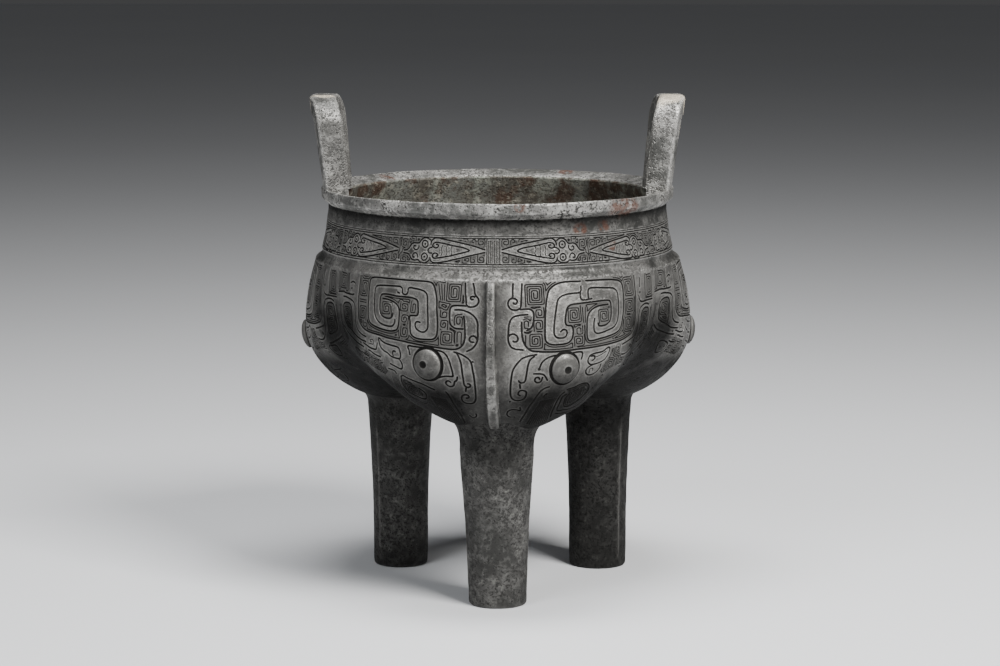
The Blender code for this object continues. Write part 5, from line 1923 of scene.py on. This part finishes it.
# Patches of red patina, and painted highlights on the handles, on the vessel: place in millimetres from its
# axis, and radius.
RED_SPOTS = [
    ((53, -54, 173), 7), ((57, -50, 171), 6), ((36, -65, 163), 4), ((46, -58, 164), 3.5),
    ((50, -57, 156), 3), ((11, -76, 174), 3), ((30, 68, 175), 4), ((-52, 50, 170), 6), ((30, 70, 160), 5),
]
# Painted highlights on the tops of the handles.
PAINTED_HIGHLIGHTS = [((76, -4, 214), 13), ((79, -6, 202), 9), ((-76, -8, 214), 8)]

RED_PATINA = (0.13, 0.055, 0.035)
# Colour of the painted highlights.
PAINTED_HIGHLIGHT_COLOUR = (0.95, 0.85, 0.68)
CORROSION = (0.31, 0.315, 0.28)
PAINTED_SHADE_AND_DIRT_COLOUR = (0.04, 0.04, 0.04)
INSIDE_DARK = (0.09, 0.082, 0.07)
INSIDE_GREY = (0.17, 0.174, 0.158)
INSIDE_PALE = (0.25, 0.26, 0.225)
INSIDE_BROWN = (0.075, 0.043, 0.03)
INSIDE_CRUST = (0.36, 0.34, 0.28)
INSIDE_PITS = (0.04, 0.03, 0.022)
SPECULAR_LEVEL = 0.15
SPECULAR_TINT = (0.45, 0.45, 0.45, 1)
BUMP_DISTANCE = 0.0006


def bronze(name, tone, corrosion, scars, relief, grit=0.0, patches=1.0):
    """Old bronze: mottled metal, pale corrosion, dark pitted scars, worn ridges, painted highlights, painted
    shade with dirt, and soil.

    The tone is the metal's brightness, the relief how rough its surface is, and corrosion, scars and
    patches how much of each shows. Grit makes the scars finer.
    """
    colours = bpy.context.scene.ding_patina
    body = scaled(colours.body, tone)
    light = scaled(colours.light, tone)
    dark = scaled(colours.dark, tone)
    soil = tuple(colours.soil)
    graph = Graph(name)
    recess = graph.attribute("recess")
    inner = graph.attribute("inner")
    edge = graph.attribute("worn")
    broad = graph.noise(34, 4, 0.6, (0.1, 0.2, 0.3), 0.4)
    middle = graph.noise(125, 5, 0.62, (0.4, 0.1, 0.2), 0.3)
    clump = graph.noise(340, 5, 0.66, (0.2, 0.4, 0.7), 0.3)
    fine = graph.noise(900, 4, 0.6, (0.3, 0.5, 0.1))
    grain = graph.noise(2400, 2, 0.6, (0.2, 0.6, 0.4))
    colour = graph.layered(body, [
        ((1.0 - graph.fade(broad, 0.38, 0.62)) * patches, dark),
        (graph.fade(middle, 0.45, 0.7) * 0.55, light),
        (graph.fade(clump, 0.5, 0.68) * 0.35, light),
        ((1.0 - graph.fade(fine, 0.34, 0.5)) * 0.35, dark),
    ])
    pale = graph.fade(fine * 0.4 + clump * 0.6, 0.55, 0.63) * graph.fade(broad, 0.44, 0.58)
    colour = graph.mix(pale * corrosion, colour, CORROSION)
    zone = graph.fade(middle * 0.5 + broad * 0.5, 0.42, 0.54)
    spread = 0.09 - 0.04 * grit
    scar = (1.0 - graph.fade(clump * (1 - grit) + fine * grit, 0.49 - spread, 0.49)) * zone
    holes = (1.0 - graph.fade(graph.cells(760, (0.1, 0.3, 0.2)), 0.14, 0.34)) * graph.fade(clump, 0.42, 0.56)
    pits = graph.maths("MAXIMUM", scar, holes * 0.85)
    colour = graph.mix(pits * scars, colour, scaled(colours.soil, 1.8))
    ragged = graph.noise(90, 4, 0.6, (0.7, 0.3, 0.9))
    inside = graph.layered(INSIDE_DARK, [
        (graph.fade(broad, 0.4, 0.6), INSIDE_GREY),
        (graph.fade(middle, 0.48, 0.62) * 0.8, INSIDE_PALE),
        (graph.fade(ragged, 0.5, 0.62) * 0.75, INSIDE_BROWN),
        (graph.fade(clump, 0.52, 0.66) * 0.5, INSIDE_CRUST),
        ((1.0 - graph.fade(fine, 0.36, 0.5)) * 0.6, INSIDE_PITS),
    ])
    colour = graph.layered(colour, [
        (graph.near_any(RED_SPOTS, ragged) * 0.75 * graph.fade(clump, 0.36, 0.56), RED_PATINA),
        # Painted highlights on the handles' tops.
        (graph.near_any(PAINTED_HIGHLIGHTS, ragged) * 0.8, PAINTED_HIGHLIGHT_COLOUR),
        (graph.fade(inner, 0.3, 0.9), inside),
        (graph.fade(edge, 0.2, 0.75) * 0.55 * (1.0 - inner), light),
    ])
    # Painted shade, with the ground's dirt, darkens the colour and dulls the metal.
    painted_shade_and_dirt_share = graph.attribute("painted_shade_and_dirt")
    painted_shade_and_dirt_share = graph.maths("MULTIPLY", painted_shade_and_dirt_share, 1.03 + (middle - 0.5) * 0.6, True)
    colour = graph.mix(painted_shade_and_dirt_share, colour, PAINTED_SHADE_AND_DIRT_COLOUR, "MULTIPLY")
    soiled = graph.fade(recess, 0.02, 0.5)
    colour = graph.mix(soiled * 0.95, colour, soil)
    graph.set_input(graph.surface.inputs["Base Color"], colour)
    dull = graph.maths("MAXIMUM", graph.maths("MAXIMUM", pits * scars, pale * corrosion), soiled)
    rough = 0.4 + (middle - 0.5) * 0.3 + (fine - 0.5) * 0.25 + dull * 0.22 + painted_shade_and_dirt_share * 0.35 - edge * 0.08
    graph.set_input(graph.surface.inputs["Roughness"], graph.maths("MAXIMUM", rough, 0.22, True))
    shine = (1.0 - dull * 0.8) * (1.0 - painted_shade_and_dirt_share) * (1.0 - inner * 0.7) * 0.6
    graph.set_input(graph.surface.inputs["Metallic"], graph.maths("MAXIMUM", shine, 0.0, True))
    graph.surface.inputs["Specular IOR Level"].default_value = SPECULAR_LEVEL
    graph.surface.inputs["Specular Tint"].default_value = SPECULAR_TINT
    height = clump * 0.5 + fine * 0.4 + grain * 0.12 - pits * 0.9 - holes * 0.5
    graph.set_input(graph.surface.inputs["Normal"], graph.bump(height, relief, BUMP_DISTANCE))
    return graph.material


# --- Settings, operators and panel ---

class DingBody(bpy.types.PropertyGroup):
    """Sizes of the cast body."""

    wall: bpy.props.FloatProperty(
        name="Wall", description="Thickness of the bowl's wall",
        default=0.0036, min=0.002, max=0.006, unit="LENGTH", subtype="DISTANCE",
    )
    handle_height: bpy.props.FloatProperty(
        name="Handle height", description="Height of the handles above the rim",
        default=0.0396, min=0.02, max=0.0396, unit="LENGTH", subtype="DISTANCE",
    )


class DingPatina(bpy.types.PropertyGroup):
    """Colours of the bronze and its corrosion."""

    body: bpy.props.FloatVectorProperty(
        name="Body", description="Colour of the body's bronze",
        default=(0.155, 0.151, 0.144), size=3, subtype="COLOR",
    )
    light: bpy.props.FloatVectorProperty(
        name="Worn", description="Colour of worn places",
        default=(0.31, 0.305, 0.29), size=3, subtype="COLOR",
    )
    dark: bpy.props.FloatVectorProperty(
        name="Dark", description="Colour of dark patches",
        default=(0.055, 0.055, 0.052), size=3, subtype="COLOR",
    )
    soil: bpy.props.FloatVectorProperty(
        name="Soil", description="Colour of soil in grooves and pits",
        default=(0.011, 0.0105, 0.01), size=3, subtype="COLOR",
    )


def scaled(colour, factor):
    """A colour made brighter or darker."""
    return tuple(min(1.0, channel * factor) for channel in colour)


# The bronze of each part.
PARTS = {
    "rim": {"tone": 2.1, "corrosion": 0.45, "scars": 0.9, "relief": 0.8, "grit": 0.55},
    # The left handle is darker than the right one: painted shade.
    "handle_left": {"tone": 1.7, "corrosion": 0.4, "scars": 0.6, "relief": 0.8, "grit": 0.6},
    "handle_right": {"tone": 2.1, "corrosion": 0.45, "scars": 0.6, "relief": 0.8, "grit": 0.6},
    "neck": {"tone": 1.05, "corrosion": 0.25, "scars": 0.5, "relief": 0.6, "grit": 0.6},
    "body": {"tone": 1.02, "corrosion": 0.2, "scars": 0.3, "relief": 0.35, "patches": 0.55},
    "leg": {
        "tone": 0.62, "corrosion": 0.35, "scars": 0.6, "relief": 0.7, "grit": 0.5, "patches": 0.8,
    },
    "flange": {"tone": 1.0, "corrosion": 0.5, "scars": 0.6, "relief": 0.8},
}


# Thirds of the bowl: turn about the axis, and the swell of the lobe at each end.
THIRDS = {
    "bowl_right": (0.0, (2.9, 0.8)),
    "bowl_back": (120.0, (0.8, 0.8)),
    "bowl_left": (240.0, (0.8, 1.1)),
}

# Handles: turn about the axis.
HANDLES = {"handle_right": 1.3, "handle_left": 181.3}

# Legs, as leg_piece describes them.
LEGS = {
    "leg_front": {
        "lobe": 0, "shares": (1.0, 1.04), "shift": 1.35, "swells": (2.9, 1.1),
        "flare": 11.5, "leg_painted_shade": 0.15,
    },
    "leg_right": {
        "lobe": 1, "shares": (1.025, 0.945), "shift": 0.4, "swells": (0.8, 0.8),
        "flare": 4.5, "leg_painted_shade": 0.72,
    },
    "leg_left": {
        "lobe": 2, "shares": (0.975, 0.92), "shift": 0.0, "swells": (0.8, 0.8),
        "flare": 4.5, "leg_painted_shade": 0.42,
    },
}

# Flanges: turn about the axis, and drift to the right at the toe.
FLANGES = {"flange_front": (-0.55, 1.1), "flange_right": (120.0, 0.0), "flange_left": (240.0, 0.0)}


def patina(part):
    """The bronze of one part of the vessel."""
    existing = bpy.data.materials.get(f"bronze {part}")
    return existing or bronze(f"bronze {part}", **PARTS[part])


class DING_OT_body(bpy.types.Operator):
    """Makes the three thirds of the bowl with their masks"""

    bl_idname = "ding.make_body"
    bl_label = "Make bowl"

    def execute(self, context):
        cuttings = (mask_cutting(False), mask_cutting(True))
        wall = context.scene.ding_body.wall / MM
        for name, (turn, swells) in THIRDS.items():
            body_piece(name, cuttings, turn, swells, patina("body"), wall)
        return {"FINISHED"}


class DING_OT_neck(bpy.types.Operator):
    """Makes the neck with its carved band"""

    bl_idname = "ding.make_neck"
    bl_label = "Make neck"

    def execute(self, context):
        cuttings = (band_cutting(11.0, 1.2), band_cutting(17.0, 0.5))
        neck_piece(cuttings, patina("neck"), context.scene.ding_body.wall / MM)
        return {"FINISHED"}


class DING_OT_rim(bpy.types.Operator):
    """Makes the rim"""

    bl_idname = "ding.make_rim"
    bl_label = "Make rim"

    def execute(self, context):
        rim_piece(patina("rim"))
        return {"FINISHED"}


class DING_OT_handles(bpy.types.Operator):
    """Makes the two upright handles"""

    bl_idname = "ding.make_handles"
    bl_label = "Make handles"

    def execute(self, context):
        for name, turn in HANDLES.items():
            handle_piece(name, turn, context.scene.ding_body, patina(name))
        return {"FINISHED"}


class DING_OT_legs(bpy.types.Operator):
    """Makes the three legs"""

    bl_idname = "ding.make_legs"
    bl_label = "Make legs"

    def execute(self, context):
        for name, sizes in LEGS.items():
            leg_piece(name, patina("leg"), **sizes)
        return {"FINISHED"}


class DING_OT_flanges(bpy.types.Operator):
    """Makes the flange on each lobe"""

    bl_idname = "ding.make_flanges"
    bl_label = "Make flanges"

    def execute(self, context):
        for name, (turn, drift) in FLANGES.items():
            flange_piece(name, turn, drift, patina("flange"))
        return {"FINISHED"}


# Lamps that look at the vessel: place, size, power and colour.
LIT_SPOT = (0.0, 0.0, 0.12)
LAMPS = {
    "key": ((0.5, -0.58, 0.87), (0.4, 0.34), 19.0, (1.0, 0.99, 0.97)),
    "fill": ((-0.46, -0.64, 0.82), (0.4, 0.4), 3.7, (0.96, 0.98, 1.0)),
    "top": ((0.0, -0.05, 1.0), (0.5, 0.3), 8.0, (1.0, 1.0, 1.0)),
}
FLOOR_SIZE = 12.0
FLOOR_COLOURS = ((0.78, 0.79, 0.81), (0.82, 0.83, 0.85))
STUDIO_COLOUR = (0.8, 0.81, 0.83, 1)
STUDIO_LIGHT = 0.07
SENSOR = 36.0
LENS = 109.63
LENS_SHIFT = 0.0026
CAMERA_SPOT = (0.0302, -1.3307, 0.31078)
CAMERA_DOWN = 8.594


def lamp(name, spot, size, power, colour):
    """A soft square lamp that looks at the vessel."""
    light = bpy.data.lights.new(name, "AREA")
    light.shape = "RECTANGLE"
    light.size, light.size_y = size
    light.energy = power
    light.color = colour
    obj = bpy.data.objects.new(name, light)
    obj.location = spot
    obj.rotation_euler = (Vector(LIT_SPOT) - Vector(spot)).to_track_quat("-Z", "Y").to_euler()
    bpy.context.scene.collection.objects.link(obj)


class DING_OT_stage(bpy.types.Operator):
    """Makes the floor, the lights and the camera"""

    bl_idname = "ding.make_stage"
    bl_label = "Make stage"

    def execute(self, context):
        size = {"size": FLOOR_SIZE, "location": (0, 0, 0)}
        bpy.ops.mesh.primitive_grid_add(x_subdivisions=4, y_subdivisions=4, **size)
        floor = context.object
        floor.name = "floor"
        graph = Graph("floor")
        colour = graph.mix(graph.noise(2.0, 2, 0.5), *FLOOR_COLOURS)
        graph.set_input(graph.surface.inputs["Base Color"], colour)
        graph.surface.inputs["Roughness"].default_value = 0.75
        floor.data.materials.append(graph.material)
        world = bpy.data.worlds.new("studio")
        world.use_nodes = True
        backdrop = world.node_tree.nodes["Background"]
        backdrop.inputs["Color"].default_value = STUDIO_COLOUR
        backdrop.inputs["Strength"].default_value = STUDIO_LIGHT
        context.scene.world = world
        for name, settings in LAMPS.items():
            lamp(name, *settings)
        camera = bpy.data.cameras.new("camera")
        camera.sensor_width = SENSOR
        camera.lens = LENS
        camera.shift_x = LENS_SHIFT
        camera.clip_start = 0.05
        holder = bpy.data.objects.new("camera", camera)
        spot = Vector(CAMERA_SPOT) + Vector((AXIS[0], AXIS[1], 0.0))
        holder.location = spot
        pitch = math.radians(90.0 - CAMERA_DOWN)
        holder.rotation_euler = (pitch, 0.0, math.atan2(spot.x - AXIS[0], -(spot.y - AXIS[1])))
        context.scene.collection.objects.link(holder)
        context.scene.camera = holder
        return {"FINISHED"}


class DING_PT_panel(bpy.types.Panel):
    """Lists the vessel's parts and their settings"""

    bl_label = "Bronze tripod ding"
    bl_idname = "DING_PT_panel"
    bl_space_type = "VIEW_3D"
    bl_region_type = "UI"
    bl_category = "Ding"

    def draw(self, context):
        for group in (context.scene.ding_body, context.scene.ding_patina):
            for name in group.__annotations__:
                self.layout.prop(group, name)
        for operator in OPERATORS:
            self.layout.operator(operator.bl_idname)


OPERATORS = (
    DING_OT_body, DING_OT_neck, DING_OT_rim, DING_OT_handles, DING_OT_legs, DING_OT_flanges, DING_OT_stage,
)
CLASSES = (DingBody, DingPatina) + OPERATORS + (DING_PT_panel,)


def register():
    """Adds the classes and settings, and fixes the offsets of the vector noise."""
    noise.seed_set(NOISE_SEED)
    for entry in CLASSES:
        bpy.utils.register_class(entry)
    bpy.types.Scene.ding_body = bpy.props.PointerProperty(type=DingBody)
    bpy.types.Scene.ding_patina = bpy.props.PointerProperty(type=DingPatina)


def unregister():
    """Takes the settings and classes away again."""
    del bpy.types.Scene.ding_patina
    del bpy.types.Scene.ding_body
    for entry in reversed(CLASSES):
        bpy.utils.unregister_class(entry)


def main():
    """Makes the whole scene."""
    register()
    bpy.ops.ding.make_body()
    bpy.ops.ding.make_neck()
    bpy.ops.ding.make_rim()
    bpy.ops.ding.make_handles()
    bpy.ops.ding.make_legs()
    bpy.ops.ding.make_flanges()
    bpy.ops.ding.make_stage()


if __name__ == "__main__":
    main()
